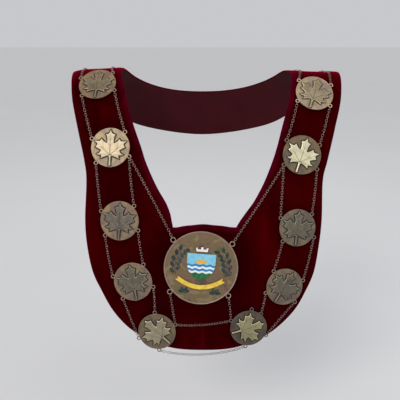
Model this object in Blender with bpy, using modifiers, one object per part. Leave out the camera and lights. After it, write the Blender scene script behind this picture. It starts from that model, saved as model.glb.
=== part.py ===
"""Mayoral chain of office: a velvet collar with leaf medals, an enamelled badge and chains.

Metres, +Z up. The wearer faces -Y and +X is the viewer's right. The origin lies midway
between the two straps, on the ridge of the shoulders that the collar hangs on.
"""

import math

import bmesh
import bpy
from mathutils import Matrix, Vector

# Form of the shoulders, chest and back that the collar follows
SHOULDER_RADIUS = 0.088
SHOULDER_END = 26.0
CHEST_END = 5.0
BACK_RADIUS = 0.062
BACK_SHOULDER_END = 27.0
BACK_END = 10.0
CHEST_ROUND = 0.330
SHOULDER_SLOPE = 0.04
SLOPE_REACH = 0.130
NECK_ROUND = 0.030
STRAP_MIDDLE = 0.153

# Velvet collar, its runs measured over the shoulder form from the ridge
COLLAR_FRONT = 0.422
COLLAR_BACK = 0.152
COLLAR_HALF_WIDTH = 0.187
CLOTH_WALL = 0.003

# Leaf medals
MEDAL_DIAMETER = 0.051
MEDAL_THICKNESS = 0.002
MEDAL_EDGE = 0.0004
LEAF_RELIEF = 0.0009
LEAF_LEAN = 12.5
EYELET_DIAMETER = 0.0058
EYELET_WIRE = 0.0013
EYELET_REACH = 0.002
EYELET_SPREAD = 36.0
BACK_EYELET_REACH = 0.0006

# Centre badge
BADGE_DIAMETER = 0.0975
BADGE_THICKNESS = 0.0026
BADGE_RIM_WIDTH = 0.0012
BADGE_RIM_HEIGHT = 0.0005
BADGE_EYELET_DIAMETER = 0.0077
BADGE_EYELET_WIRE = 0.0015
BADGE_EYELET_REACH = 0.0033
BADGE_EYELET_SPREAD = 42.0
ENAMEL_THICKNESS = 0.001
ENAMEL_EDGE = 0.0003
SPRIG_RELIEF = 0.0007

# Chains
CHAIN_WIDTH = 0.0032
CHAIN_STEP = 3 * CHAIN_WIDTH
SETTLE_LENGTH = 0.014

# Clearance between pieces that touch, and how far joined pieces sink into each other
GAP = 0.0003
SINK = 0.0008

MEDAL_SIDES = 24
BADGE_SIDES = 40
EYELET_SIDES = 10
WIRE_SIDES = 5
COLUMNS_ACROSS = 6
STATIONS_PER_SECTION = 2
ROUTE_SAMPLES = 240

# Sections of the collar from the middle of the hem round to the middle of the back.
# Halves and sways are shares of COLLAR_HALF_WIDTH. Runs are shares of COLLAR_FRONT,
# or of COLLAR_BACK where they are negative.
# neck half, neck run, neck sway, outer half, outer run, outer sway
COLLAR_SECTIONS = (
    (0.000, 0.586, 0.000, 0.000, 1.000, 0.000),
    (0.075, 0.589, 0.000, 0.193, 0.996, 0.000),
    (0.139, 0.592, 0.003, 0.332, 0.981, 0.000),
    (0.187, 0.596, 0.008, 0.449, 0.959, 0.000),
    (0.222, 0.597, 0.011, 0.551, 0.924, 0.000),
    (0.241, 0.576, 0.021, 0.652, 0.873, 0.000),
    (0.267, 0.552, 0.035, 0.733, 0.813, 0.000),
    (0.307, 0.521, 0.047, 0.797, 0.754, 0.000),
    (0.353, 0.486, 0.046, 0.832, 0.675, 0.000),
    (0.396, 0.448, 0.045, 0.848, 0.588, 0.003),
    (0.447, 0.393, 0.043, 0.845, 0.462, 0.011),
    (0.481, 0.346, 0.043, 0.869, 0.398, 0.021),
    (0.524, 0.284, 0.037, 0.917, 0.303, 0.032),
    (0.561, 0.227, 0.035, 0.957, 0.213, 0.032),
    (0.594, 0.166, 0.035, 0.984, 0.137, 0.027),
    (0.623, 0.085, 0.027, 0.997, 0.076, 0.025),
    (0.631, 0.012, 0.024, 1.000, 0.012, 0.024),
    (0.620, -0.145, 0.018, 0.989, -0.197, 0.018),
    (0.556, -0.303, 0.012, 0.936, -0.447, 0.012),
    (0.417, -0.421, 0.006, 0.781, -0.697, 0.006),
    (0.225, -0.487, 0.000, 0.524, -0.895, 0.000),
    (0.000, -0.507, 0.000, 0.000, -1.000, 0.000),
)
# The section at the sharp corner of the neckline, and the columns that break there
NECK_CORNER = 4
NECK_COLUMNS = (0, 1, 2)
# The columns that change sign across the middle line
HALF_COLUMNS = (0, 3)

# Medals: centre across as a share of COLLAR_HALF_WIDTH, run as a share of COLLAR_FRONT,
# diameter as a share of MEDAL_DIAMETER, and turn in degrees against the clock.
# name, across, run, size, turn
MEDALS = (
    ("medal_l1", -0.761, 0.139, 0.985, 9.0),
    ("medal_l2", -0.652, 0.352, 1.020, 10.0),
    ("medal_l3", -0.587, 0.581, 1.015, 9.0),
    ("medal_l4", -0.496, 0.773, 1.015, 23.0),
    ("medal_l5", -0.330, 0.935, 0.995, 59.5),
    ("medal_r1", 0.798, 0.175, 0.990, -7.0),
    ("medal_r2", 0.697, 0.376, 1.015, -7.0),
    ("medal_r3", 0.666, 0.605, 0.967, 6.0),
    ("medal_r4", 0.580, 0.792, 0.972, -19.5),
    ("medal_r5", 0.327, 0.923, 0.975, -62.0),
)
# The medal that carries one more eyelet, tucked behind its rim, and that eyelet's angle
BACK_EYELET_MEDAL = "medal_r5"
BACK_EYELET_ANGLE = 112.0
BADGE_ACROSS = -0.015
BADGE_RUN = 0.7225
BADGE_TURN = -4.0

# Right half of the leaf's outline from its tip to its stem, as shares of the medal's radius
# across, up
LEAF_HALF = (
    (0.000, 0.880),
    (0.100, 0.690),
    (0.250, 0.650),
    (0.190, 0.450),
    (0.220, 0.190),
    (0.485, 0.437),
    (0.600, 0.300),
    (0.850, 0.323),
    (0.700, 0.130),
    (0.780, 0.015),
    (0.500, -0.165),
    (0.715, -0.335),
    (0.480, -0.410),
    (0.500, -0.565),
    (0.060, -0.430),
    (0.050, -0.930),
)

# Right half of the shield from its top to its foot, as shares of the badge's radius
# across, up
SHIELD_HALF = (
    (0.000, 0.410),
    (0.400, 0.410),
    (0.400, 0.090),
    (0.350, -0.080),
    (0.240, -0.220),
    (0.110, -0.310),
    (0.000, -0.345),
)
# Right half of the crest above the shield, with a wall's merlons, as shares of the badge's radius
# across, up
CREST_HALF = (
    (0.000, 0.590),
    (0.045, 0.590),
    (0.045, 0.530),
    (0.105, 0.530),
    (0.105, 0.570),
    (0.185, 0.570),
    (0.160, 0.440),
    (0.000, 0.440),
)
# The ribbon's middle line from its centre to its swallow tail, as shares of the badge's radius
# across, up
RIBBON_HALF = (
    (0.000, -0.520),
    (0.180, -0.505),
    (0.360, -0.450),
    (0.530, -0.365),
    (0.665, -0.270),
)
RIBBON_WIDTH = 0.150
RIBBON_NOTCH = 0.060

# Laurel sprigs on the badge, as shares of its radius, and their angles from the right
SPRIG_RADIUS = 0.700
SPRIG_STAGGER = 0.070
SPRIG_LEAF_LENGTH = 0.150
SPRIG_LEAF_WIDTH = 0.070
SPRIG_LEAVES = 7
SPRIG_FIRST_ANGLE = -8.0
SPRIG_STEP_ANGLE = 9.0
SPRIG_LEAF_TILT = 28.0

# Chains between eyelets, with the sideways and the downward bow of each in metres
# name, first medal, first eyelet, second medal, second eyelet, bow across, bow down
CHAINS = (
    ("chain_l1_l2_outer", "medal_l1", "ll", "medal_l2", "ul", -0.001, 0.0),
    ("chain_l1_l2_inner", "medal_l1", "lr", "medal_l2", "ur", -0.001, 0.0),
    ("chain_l2_l3_outer", "medal_l2", "ll", "medal_l3", "ul", -0.001, 0.0),
    ("chain_l2_l3_inner", "medal_l2", "lr", "medal_l3", "ur", -0.001, 0.0),
    ("chain_l3_l4_outer", "medal_l3", "ll", "medal_l4", "ul", -0.0015, 0.0),
    ("chain_l3_l4_inner", "medal_l3", "lr", "medal_l4", "ur", -0.001, 0.0),
    ("chain_l4_l5_outer", "medal_l4", "ll", "medal_l5", "ul", -0.0005, 0.0),
    ("chain_l4_l5_inner", "medal_l4", "lr", "medal_l5", "ur", 0.0005, 0.0),
    ("chain_r1_r2_inner", "medal_r1", "ll", "medal_r2", "ul", 0.001, 0.0),
    ("chain_r1_r2_outer", "medal_r1", "lr", "medal_r2", "ur", 0.001, 0.0),
    ("chain_r2_r3_inner", "medal_r2", "ll", "medal_r3", "ul", 0.0, 0.0),
    ("chain_r2_r3_outer", "medal_r2", "lr", "medal_r3", "ur", 0.001, 0.0),
    ("chain_r3_r4_inner", "medal_r3", "ll", "medal_r4", "ul", 0.001, 0.0),
    ("chain_r3_r4_outer", "medal_r3", "lr", "medal_r4", "ur", 0.001, 0.0),
    ("chain_r4_r5_inner", "medal_r4", "ll", "medal_r5", "back", 0.001, 0.0),
    ("chain_r4_r5_outer", "medal_r4", "lr", "medal_r5", "ur", 0.0, 0.0),
    ("chain_l2_badge", "medal_l2", "lr", "badge_disc", "ul", 0.001, 0.0),
    ("chain_r2_badge", "medal_r2", "ll", "badge_disc", "ur", 0.001, 0.0),
    ("chain_badge_l5", "badge_disc", "ll", "medal_l5", "lr", -0.0005, 0.0),
    ("chain_badge_r5", "badge_disc", "lr", "medal_r5", "ll", 0.0005, 0.0),
    ("chain_cross", "medal_l5", "lr", "medal_r5", "ll", 0.0, 0.003),
    ("chain_hem", "medal_l5", "ll", "medal_r5", "lr", 0.0, 0.008),
)
# Chains that go over the shoulders and round the back, along the band of the collar:
# name, left eyelet, right eyelet, place across the band from its neck edge
BACK_CHAINS = (
    ("chain_back_outer", "ul", "ur", 0.66),
    ("chain_back_inner", "ur", "ul", 0.30),
)
# Sections of the collar that the back chains cross on each side
BACK_CHAIN_SECTIONS = (17, 18, 19, 20)


def clear_scene():
    """Remove every object of the scene."""
    for thing in list(bpy.data.objects):
        bpy.data.objects.remove(thing, do_unlink=True)


def new_collection(name, hidden=False):
    """A collection linked to the scene."""
    collection = bpy.data.collections.new(name)
    bpy.context.scene.collection.children.link(collection)
    collection.hide_render = hidden
    return collection


def new_material(name, colour, roughness, metallic):
    """A Principled material with one colour."""
    material = bpy.data.materials.new(name)
    material.use_nodes = True
    shader = material.node_tree.nodes["Principled BSDF"]
    shader.inputs["Base Color"].default_value = (*colour, 1.0)
    shader.inputs["Roughness"].default_value = roughness
    shader.inputs["Metallic"].default_value = metallic
    return material


def add_object(name, data, collection, material=None):
    """Put mesh or curve data into an object of a collection."""
    thing = bpy.data.objects.new(name, data)
    collection.objects.link(thing)
    if material:
        data.materials.append(material)
    return thing


def smooth_step(value):
    """Ease from 0 to 1."""
    value = min(1.0, max(0.0, value))
    return value * value * (3.0 - 2.0 * value)


def profile(run):
    """Forward and upward place of the form at a run from the ridge, negative down the back."""
    if run >= 0.0:
        radius, bend, tail, length, side = SHOULDER_RADIUS, SHOULDER_END, CHEST_END, COLLAR_FRONT, 1.0
    else:
        radius, bend, tail, length, side = BACK_RADIUS, BACK_SHOULDER_END, BACK_END, COLLAR_BACK, -1.0
    bend = math.radians(bend)
    tail = math.radians(tail)
    shoulder = radius * (math.pi / 2 - bend)
    along = abs(run)
    if along <= shoulder:
        angle = math.pi / 2 - along / radius
        return side * radius * math.cos(angle), radius * (math.sin(angle) - 1.0)
    slow_radius = (length - shoulder) / (bend - tail)
    angle = bend - (along - shoulder) / slow_radius
    forward = radius * math.cos(bend) + slow_radius * (math.cos(angle) - math.cos(bend))
    up = radius * (math.sin(bend) - 1.0) + slow_radius * (math.sin(angle) - math.sin(bend))
    return side * forward, up


def form_point(across, run):
    """Point of the velvet's face at a place across and a run from the ridge."""
    forward, up = profile(run)
    round_off = 1.0 - 0.5 * (across / CHEST_ROUND) ** 2
    fade = 1.0 - smooth_step(abs(run) / SLOPE_REACH)
    slope = math.hypot(across, NECK_ROUND) - math.hypot(STRAP_MIDDLE, NECK_ROUND)
    return Vector((across, -forward * round_off, up - SHOULDER_SLOPE * slope * fade))


def form_directions(across, run):
    """Unit vectors of the velvet's face: to the right, up the run, and outward."""
    probe = 0.0005
    up = form_point(across, run - probe) - form_point(across, run + probe)
    right = form_point(across + probe, run) - form_point(across - probe, run)
    outward = right.cross(up).normalized()
    up.normalize()
    return up.cross(outward).normalized(), up, outward


def form_place(point, across, run):
    """Place across, run and height of a point over the velvet, found by steps from a guess."""
    probe = 0.0005
    for _ in range(12):
        offset = point - form_point(across, run)
        side = (form_point(across + probe, run) - form_point(across - probe, run)) / (2 * probe)
        down = (form_point(across, run + probe) - form_point(across, run - probe)) / (2 * probe)
        across += offset.dot(side) / side.length_squared
        run += offset.dot(down) / down.length_squared
    height = (point - form_point(across, run)).dot(form_directions(across, run)[2])
    return across, run, height


def curve_value(start, start_slope, end, end_slope, share):
    """Value at a share of a smooth curve with the given ends and slopes."""
    square = share * share
    cube = square * share
    return (
        start * (2 * cube - 3 * square + 1)
        + start_slope * (cube - 2 * square + share)
        + end * (3 * square - 2 * cube)
        + end_slope * (cube - square)
    )


def section_slope(column, index, ahead):
    """Slope of a column at a row, broken only at the neckline's sharp corner."""
    before = COLLAR_SECTIONS[max(index - 1, 0)][column]
    here = COLLAR_SECTIONS[index][column]
    after = COLLAR_SECTIONS[min(index + 1, len(COLLAR_SECTIONS) - 1)][column]
    if index in (0, len(COLLAR_SECTIONS) - 1):
        return after - before if column in HALF_COLUMNS else 0.0
    if index == NECK_CORNER and column in NECK_COLUMNS:
        return after - here if ahead else here - before
    return (after - before) / 2


def section_values(place):
    """Values of the collar's sections at a place between two rows, on a smooth curve."""
    first = min(int(place), len(COLLAR_SECTIONS) - 2)
    values = []
    for column, (start, end) in enumerate(zip(COLLAR_SECTIONS[first], COLLAR_SECTIONS[first + 1])):
        start_slope = section_slope(column, first, True)
        end_slope = section_slope(column, first + 1, False)
        values.append(curve_value(start, start_slope, end, end_slope, place - first))
    return values


def band_place(section, share, side):
    """Place across and run at a share of the way from the neck edge to the outer edge."""
    neck_half, neck_run, neck_sway, outer_half, outer_run, outer_sway = section_values(section)
    neck_length = COLLAR_FRONT if neck_run >= 0 else COLLAR_BACK
    outer_length = COLLAR_FRONT if outer_run >= 0 else COLLAR_BACK
    neck = (side * neck_half + neck_sway) * COLLAR_HALF_WIDTH, neck_run * neck_length
    outer = (side * outer_half + outer_sway) * COLLAR_HALF_WIDTH, outer_run * outer_length
    across = neck[0] + (outer[0] - neck[0]) * share
    run = neck[1] + (outer[1] - neck[1]) * share
    return across, run


def build_collar(collection, material):
    """The velvet collar: a closed ring of cloth lofted through its sections."""
    last = (len(COLLAR_SECTIONS) - 1) * STATIONS_PER_SECTION
    stations = [(step / STATIONS_PER_SECTION, 1.0) for step in range(last + 1)]
    stations += [(step / STATIONS_PER_SECTION, -1.0) for step in range(last - 1, 0, -1)]
    mesh = bpy.data.meshes.new("velvet_collar")
    shape = bmesh.new()
    rows = []
    for section, side in stations:
        row = []
        for column in range(COLUMNS_ACROSS + 1):
            across, run = band_place(section, column / COLUMNS_ACROSS, side)
            row.append(shape.verts.new(form_point(across, run)))
        rows.append(row)
    for index, row in enumerate(rows):
        next_row = rows[(index + 1) % len(rows)]
        for column in range(COLUMNS_ACROSS):
            shape.faces.new((row[column], row[column + 1], next_row[column + 1], next_row[column]))
    shape.to_mesh(mesh)
    shape.free()
    mesh.shade_smooth()
    collar = add_object("velvet_collar", mesh, collection, material)
    wall = collar.modifiers.new("cloth wall", "SOLIDIFY")
    wall.thickness = CLOTH_WALL
    wall.offset = -1.0


def mirrored(half):
    """Closed outline from its right half, which starts on the middle line."""
    left = [(-across, up) for across, up in reversed(half) if across > 0.0]
    return list(half) + left


def add_prism(shape, outline, low, high, edge=0.0):
    """Add a closed upright prism over an outline, its upper edge cut back by a chamfer."""
    face = shape.faces.new([shape.verts.new((across, up, low)) for across, up in outline])
    grown = bmesh.ops.extrude_face_region(shape, geom=[face], use_keep_orig=True)
    top = next(item for item in grown["geom"] if isinstance(item, bmesh.types.BMFace))
    bmesh.ops.translate(shape, verts=top.verts, vec=(0.0, 0.0, high - low))
    bmesh.ops.recalc_face_normals(shape, faces=list(shape.faces))
    if edge > 0.0:
        bmesh.ops.bevel(shape, geom=list(top.edges), offset=edge, segments=1, affect="EDGES")


def add_disc(shape, radius, thickness, sides, edge):
    """Add a round blank with its underside at zero and a chamfered upper edge."""
    middle = Matrix.Translation((0.0, 0.0, thickness / 2))
    bmesh.ops.create_cone(
        shape, cap_ends=True, segments=sides, radius1=radius, radius2=radius, depth=thickness, matrix=middle
    )
    upper = [rim for rim in shape.edges if all(vert.co.z > thickness * 0.9 for vert in rim.verts)]
    bmesh.ops.bevel(shape, geom=upper, offset=edge, segments=1, affect="EDGES")


def add_eyelets(shape, places, diameter, wire, height):
    """Add the eyelets, rings that lie in the plane of their disc."""
    for across, up in places:
        bpy.ops.mesh.primitive_torus_add(
            major_segments=EYELET_SIDES,
            minor_segments=WIRE_SIDES,
            major_radius=(diameter - wire) / 2,
            minor_radius=wire / 2,
            location=(across, up, height),
        )
        ring = bpy.context.object
        ring.data.transform(ring.matrix_world)
        shape.from_mesh(ring.data)
        bpy.data.objects.remove(ring)


def eyelet_places(angles, reach_by_name, radius):
    """Centre of each eyelet in the plane of its disc."""
    places = {}
    for name, angle in angles.items():
        distance = radius + reach_by_name[name]
        turn = math.radians(angle)
        places[name] = (distance * math.cos(turn), distance * math.sin(turn))
    return places


def corner_angles(spread):
    """Angles of the four eyelets, upper right, upper left, lower left and lower right."""
    return {"ur": spread, "ul": 180.0 - spread, "ll": spread - 180.0, "lr": -spread}


def seat_matrix(across, run, turn, radius):
    """Frame of a disc that rests on the velvet, its underside clear of every bulge."""
    right, up, outward = form_directions(across, run)
    centre = form_point(across, run)
    lift = 0.0
    for step in range(24):
        around = 2 * math.pi * step / 24
        for reach in (0.35, 0.7, 1.0):
            probe_across = across + reach * radius * math.cos(around)
            probe_run = run + reach * radius * math.sin(around)
            lift = max(lift, (form_point(probe_across, probe_run) - centre).dot(outward))
    angle = math.radians(turn)
    turned_right = right * math.cos(angle) + up * math.sin(angle)
    turned_up = up * math.cos(angle) - right * math.sin(angle)
    matrix = Matrix((turned_right, turned_up, outward)).transposed().to_4x4()
    matrix.translation = centre + outward * (lift + GAP)
    return matrix


def soldered(name, blank, relief, matrix, collection, cutters, material):
    """A disc fused with its relief and its eyelets, placed by its frame."""
    meshes = []
    for label, shape in ((name, blank), (name + "_relief", relief)):
        mesh = bpy.data.meshes.new(label)
        shape.to_mesh(mesh)
        shape.free()
        meshes.append(mesh)
    disc = add_object(name, meshes[0], collection, material)
    raised = add_object(name + "_relief", meshes[1], cutters)
    disc.matrix_world = matrix
    raised.matrix_world = matrix
    raised.hide_render = True
    raised.display_type = "WIRE"
    join = disc.modifiers.new("solder", "BOOLEAN")
    join.operation = "UNION"
    join.solver = "EXACT"
    join.object = raised


def build_medal(row, collection, cutters, material):
    """One leaf medal with its eyelets. Gives its place, eyelet centres and ring radius."""
    name, across, run, size, turn = row
    radius = size * MEDAL_DIAMETER / 2
    matrix = seat_matrix(across * COLLAR_HALF_WIDTH, run * COLLAR_FRONT, turn, radius)
    angles = corner_angles(EYELET_SPREAD)
    reaches = dict.fromkeys(angles, EYELET_REACH)
    if name == BACK_EYELET_MEDAL:
        angles["back"] = BACK_EYELET_ANGLE
        reaches["back"] = BACK_EYELET_REACH
    places = eyelet_places(angles, reaches, radius)
    blank = bmesh.new()
    add_disc(blank, radius, MEDAL_THICKNESS, MEDAL_SIDES, MEDAL_EDGE)
    relief = bmesh.new()
    lean = Matrix.Rotation(-math.radians(LEAF_LEAN), 2)
    outline = [lean @ Vector(point) * radius for point in mirrored(LEAF_HALF)]
    add_prism(relief, outline, MEDAL_THICKNESS - SINK, MEDAL_THICKNESS + LEAF_RELIEF)
    add_eyelets(relief, places.values(), EYELET_DIAMETER, EYELET_WIRE, MEDAL_THICKNESS / 2)
    soldered(name, blank, relief, matrix, collection, cutters, material)
    centres = {key: matrix @ Vector((*place, MEDAL_THICKNESS / 2)) for key, place in places.items()}
    return {"across": across * COLLAR_HALF_WIDTH, "run": run * COLLAR_FRONT,
            "eyelets": centres, "ring": EYELET_DIAMETER / 2, "headings": {}}


def sprig_outlines(radius):
    """Outlines of the laurel leaves, in two sprigs that follow the rim."""
    outlines = []
    half_length = SPRIG_LEAF_LENGTH * radius / 2
    half_width = SPRIG_LEAF_WIDTH * radius / 2
    leaf = [
        (half_length, 0.0), (half_length * 0.3, half_width), (-half_length * 0.5, half_width * 0.8),
        (-half_length, 0.0), (-half_length * 0.5, -half_width * 0.8), (half_length * 0.3, -half_width),
    ]
    for side in (1.0, -1.0):
        for index in range(SPRIG_LEAVES):
            angle = math.radians(SPRIG_FIRST_ANGLE + index * SPRIG_STEP_ANGLE)
            inner = -1.0 if index % 2 else 1.0
            distance = (SPRIG_RADIUS + inner * SPRIG_STAGGER) * radius
            heading = angle + math.pi / 2 - inner * math.radians(SPRIG_LEAF_TILT)
            outline = []
            for along, over in leaf:
                across = distance * math.cos(angle) + along * math.cos(heading) - over * math.sin(heading)
                up = distance * math.sin(angle) + along * math.sin(heading) + over * math.cos(heading)
                outline.append((side * across, up))
            outlines.append(outline)
    return outlines


def build_badge(collection, cutters, material):
    """The centre badge: a rimmed disc with laurel sprigs and four larger eyelets."""
    radius = BADGE_DIAMETER / 2
    field = BADGE_THICKNESS - BADGE_RIM_HEIGHT
    matrix = seat_matrix(BADGE_ACROSS * COLLAR_HALF_WIDTH, BADGE_RUN * COLLAR_FRONT, BADGE_TURN, radius)
    angles = corner_angles(BADGE_EYELET_SPREAD)
    places = eyelet_places(angles, dict.fromkeys(angles, BADGE_EYELET_REACH), radius)
    blank = bmesh.new()
    add_disc(blank, radius, BADGE_THICKNESS, BADGE_SIDES, MEDAL_EDGE)
    top = max(blank.faces, key=lambda face: face.calc_center_median().z)
    bmesh.ops.inset_region(blank, faces=[top], thickness=BADGE_RIM_WIDTH)
    bmesh.ops.translate(blank, verts=top.verts, vec=(0.0, 0.0, -BADGE_RIM_HEIGHT))
    relief = bmesh.new()
    for outline in sprig_outlines(radius):
        add_prism(relief, outline, field - SINK, field + SPRIG_RELIEF)
    add_eyelets(relief, places.values(), BADGE_EYELET_DIAMETER, BADGE_EYELET_WIRE, BADGE_THICKNESS / 2)
    soldered("badge_disc", blank, relief, matrix, collection, cutters, material)
    centres = {key: matrix @ Vector((*place, BADGE_THICKNESS / 2)) for key, place in places.items()}
    return matrix, {"across": BADGE_ACROSS * COLLAR_HALF_WIDTH, "run": BADGE_RUN * COLLAR_FRONT,
                    "eyelets": centres, "ring": BADGE_EYELET_DIAMETER / 2, "headings": {}}


def ribbon_outline():
    """Outline of the ribbon: a bent band with a swallow tail at each end."""
    line = [Vector(point) for point in mirrored(RIBBON_HALF)[len(RIBBON_HALF):]]
    line += [Vector(point) for point in RIBBON_HALF]
    half = RIBBON_WIDTH / 2
    upper = []
    lower = []
    for index, point in enumerate(line):
        ahead = line[min(index + 1, len(line) - 1)]
        behind = line[max(index - 1, 0)]
        normal = (ahead - behind).orthogonal().normalized()
        upper.append(point + normal * half)
        lower.append(point - normal * half)
    right_notch = line[-1] - (line[-1] - line[-2]).normalized() * RIBBON_NOTCH
    left_notch = line[0] - (line[0] - line[1]).normalized() * RIBBON_NOTCH
    return upper + [right_notch] + lower[::-1] + [left_notch]


def build_plate(name, outline, matrix, collection, material):
    """One enamelled plate seated on the badge's field."""
    radius = BADGE_DIAMETER / 2
    low = BADGE_THICKNESS - BADGE_RIM_HEIGHT + GAP
    shape = bmesh.new()
    scaled = [(point[0] * radius, point[1] * radius) for point in outline]
    add_prism(shape, scaled, low, low + ENAMEL_THICKNESS, ENAMEL_EDGE)
    mesh = bpy.data.meshes.new(name)
    shape.to_mesh(mesh)
    shape.free()
    plate = add_object(name, mesh, collection, material)
    plate.matrix_world = matrix


def even_points(points):
    """Points spaced evenly along a polyline, a chain step apart."""
    lengths = [0.0]
    for before, after in zip(points, points[1:]):
        lengths.append(lengths[-1] + (after - before).length)
    count = max(2, round(lengths[-1] / CHAIN_STEP))
    spaced = []
    index = 0
    for step in range(count + 1):
        target = lengths[-1] * step / count
        while index < len(points) - 2 and lengths[index + 1] < target:
            index += 1
        share = (target - lengths[index]) / (lengths[index + 1] - lengths[index])
        spaced.append(points[index].lerp(points[index + 1], share))
    return spaced


def laid_route(places, bow):
    """Dense points of a chain laid on the velvet through its places, each across, run and height."""
    rest = CHAIN_WIDTH / 2 + GAP + CHAIN_STEP ** 2 / (8 * BACK_RADIUS)
    rows = [places[0]] + places + [places[-1]]
    spans = len(places) - 1
    flat = []
    for sample in range(ROUTE_SAMPLES + 1):
        whole = sample / ROUTE_SAMPLES * spans
        first = min(int(whole), spans - 1)
        swell = math.sin(math.pi * sample / ROUTE_SAMPLES)
        point = []
        for axis in (0, 1):
            before, start, end, after = (rows[first + offset][axis] for offset in range(4))
            on_curve = curve_value(start, (end - before) / 2, end, (after - start) / 2, whole - first)
            point.append(on_curve + bow[axis] * swell)
        flat.append(Vector(point))
    route = []
    for spot in flat:
        height = rest
        for end, place in ((flat[0], places[0]), (flat[-1], places[-1])):
            near = 1.0 - smooth_step((spot - end).length / SETTLE_LENGTH)
            height += max(0.0, place[2] - rest) * near
        route.append(form_point(*spot) + form_directions(*spot)[2] * height)
    return route


def start_clearance(ring, heading, taken):
    """How far from an eyelet's centre a chain starts, clear of the ring and of other chains."""
    clear = ring + GAP
    for other in taken:
        clear = max(clear, (CHAIN_WIDTH + 2 * GAP) / (2 * math.sin(heading.angle(other) / 2)))
    return clear


def build_chain(name, ends, through, bow, discs, collection, material):
    """One stretch of chain as a tube that ends just clear of its two eyelets."""
    places = []
    for disc_name, eyelet in ends:
        disc = discs[disc_name]
        places.append(form_place(disc["eyelets"][eyelet], disc["across"], disc["run"]))
    route = laid_route([places[0]] + through + [places[1]], bow)
    ahead = (route[ROUTE_SAMPLES // 8], route[-ROUTE_SAMPLES // 8])
    for (disc_name, eyelet), target in zip(ends, ahead):
        disc = discs[disc_name]
        centre = disc["eyelets"][eyelet]
        heading = (target - centre).normalized()
        taken = disc["headings"].setdefault(eyelet, [])
        clear = start_clearance(disc["ring"], heading, taken)
        taken.append(heading)
        route = [point for point in route if (point - centre).length >= clear]
    curve = bpy.data.curves.new(name, "CURVE")
    curve.dimensions = "3D"
    curve.bevel_depth = CHAIN_WIDTH / 2
    curve.bevel_resolution = 2
    curve.use_fill_caps = True
    spline = curve.splines.new("POLY")
    points = even_points(route)
    spline.points.add(len(points) - 1)
    for target, point in zip(spline.points, points):
        target.co = (*point, 1.0)
    add_object(name, curve, collection, material)


def main():
    """Build the whole chain of office."""
    clear_scene()
    parts = new_collection("mayoral_chain_of_office")
    cutters = new_collection("cutters", hidden=True)
    velvet = new_material("burgundy velvet", (0.085, 0.002, 0.012), 0.85, 0.0)
    bronze = new_material("medal bronze", (0.300, 0.225, 0.150), 0.42, 1.0)
    badge_bronze = new_material("badge bronze", (0.290, 0.210, 0.130), 0.40, 1.0)
    chain_bronze = new_material("chain bronze", (0.330, 0.220, 0.180), 0.38, 1.0)
    shield_enamel = new_material("shield enamel", (0.250, 0.560, 0.720), 0.20, 0.0)
    ribbon_enamel = new_material("ribbon enamel", (0.760, 0.560, 0.090), 0.25, 0.0)
    crest_enamel = new_material("crest enamel", (0.850, 0.850, 0.820), 0.25, 0.0)

    build_collar(parts, velvet)
    discs = {}
    for row in MEDALS:
        discs[row[0]] = build_medal(row, parts, cutters, bronze)
    badge_matrix, discs["badge_disc"] = build_badge(parts, cutters, badge_bronze)
    build_plate("badge_shield", mirrored(SHIELD_HALF), badge_matrix, parts, shield_enamel)
    build_plate("badge_crest", mirrored(CREST_HALF), badge_matrix, parts, crest_enamel)
    build_plate("badge_ribbon", ribbon_outline(), badge_matrix, parts, ribbon_enamel)

    for name, first, first_eyelet, second, second_eyelet, bow_across, bow_down in CHAINS:
        ends = ((first, first_eyelet), (second, second_eyelet))
        build_chain(name, ends, [], (bow_across, bow_down), discs, parts, chain_bronze)
    for name, left_eyelet, right_eyelet, share in BACK_CHAINS:
        ends = (("medal_l1", left_eyelet), ("medal_r1", right_eyelet))
        left = [band_place(section, share, -1.0) for section in BACK_CHAIN_SECTIONS]
        right = [band_place(section, share, 1.0) for section in reversed(BACK_CHAIN_SECTIONS)]
        middle = [band_place(len(COLLAR_SECTIONS) - 1, share, 1.0)]
        build_chain(name, ends, left + middle + right, (0.0, 0.0), discs, parts, chain_bronze)


main()
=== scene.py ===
"""Looks of a mayoral chain of office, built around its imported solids.

Metres, in the frame of the solids: +Z up, the wearer faces -Y and +X is the viewer's right.
A velvet collar carries ten struck leaf medals and an enamelled badge, all joined by cable chain.
"""

import math

import bmesh
import bpy
from mathutils import Matrix, Vector


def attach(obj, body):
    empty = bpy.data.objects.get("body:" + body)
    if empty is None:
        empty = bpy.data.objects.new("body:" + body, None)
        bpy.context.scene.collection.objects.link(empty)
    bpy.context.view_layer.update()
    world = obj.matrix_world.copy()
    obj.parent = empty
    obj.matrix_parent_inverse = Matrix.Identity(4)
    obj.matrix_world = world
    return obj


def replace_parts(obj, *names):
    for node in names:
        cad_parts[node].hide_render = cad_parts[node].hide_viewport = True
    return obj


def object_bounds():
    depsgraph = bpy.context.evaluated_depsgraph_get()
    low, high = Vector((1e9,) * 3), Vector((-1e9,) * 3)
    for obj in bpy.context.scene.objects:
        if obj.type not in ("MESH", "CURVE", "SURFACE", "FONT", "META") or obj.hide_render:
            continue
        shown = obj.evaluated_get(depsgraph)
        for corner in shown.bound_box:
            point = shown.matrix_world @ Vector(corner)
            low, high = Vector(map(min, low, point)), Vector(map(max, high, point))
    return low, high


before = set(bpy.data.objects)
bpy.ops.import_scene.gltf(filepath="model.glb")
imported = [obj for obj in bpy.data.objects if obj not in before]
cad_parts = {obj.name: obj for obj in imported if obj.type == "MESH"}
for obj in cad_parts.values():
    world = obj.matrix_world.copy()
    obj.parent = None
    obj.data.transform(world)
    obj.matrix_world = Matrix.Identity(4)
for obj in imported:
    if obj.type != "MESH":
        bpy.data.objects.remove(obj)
solid_low, solid_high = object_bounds()

# Camera
CAMERA_PLACE = (-0.004, -0.765, 0.063)
CAMERA_PITCH = 19.0
IMAGE_SIDE = 400
FOCAL_PIXELS = 520
SENSOR = 36.0

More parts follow.
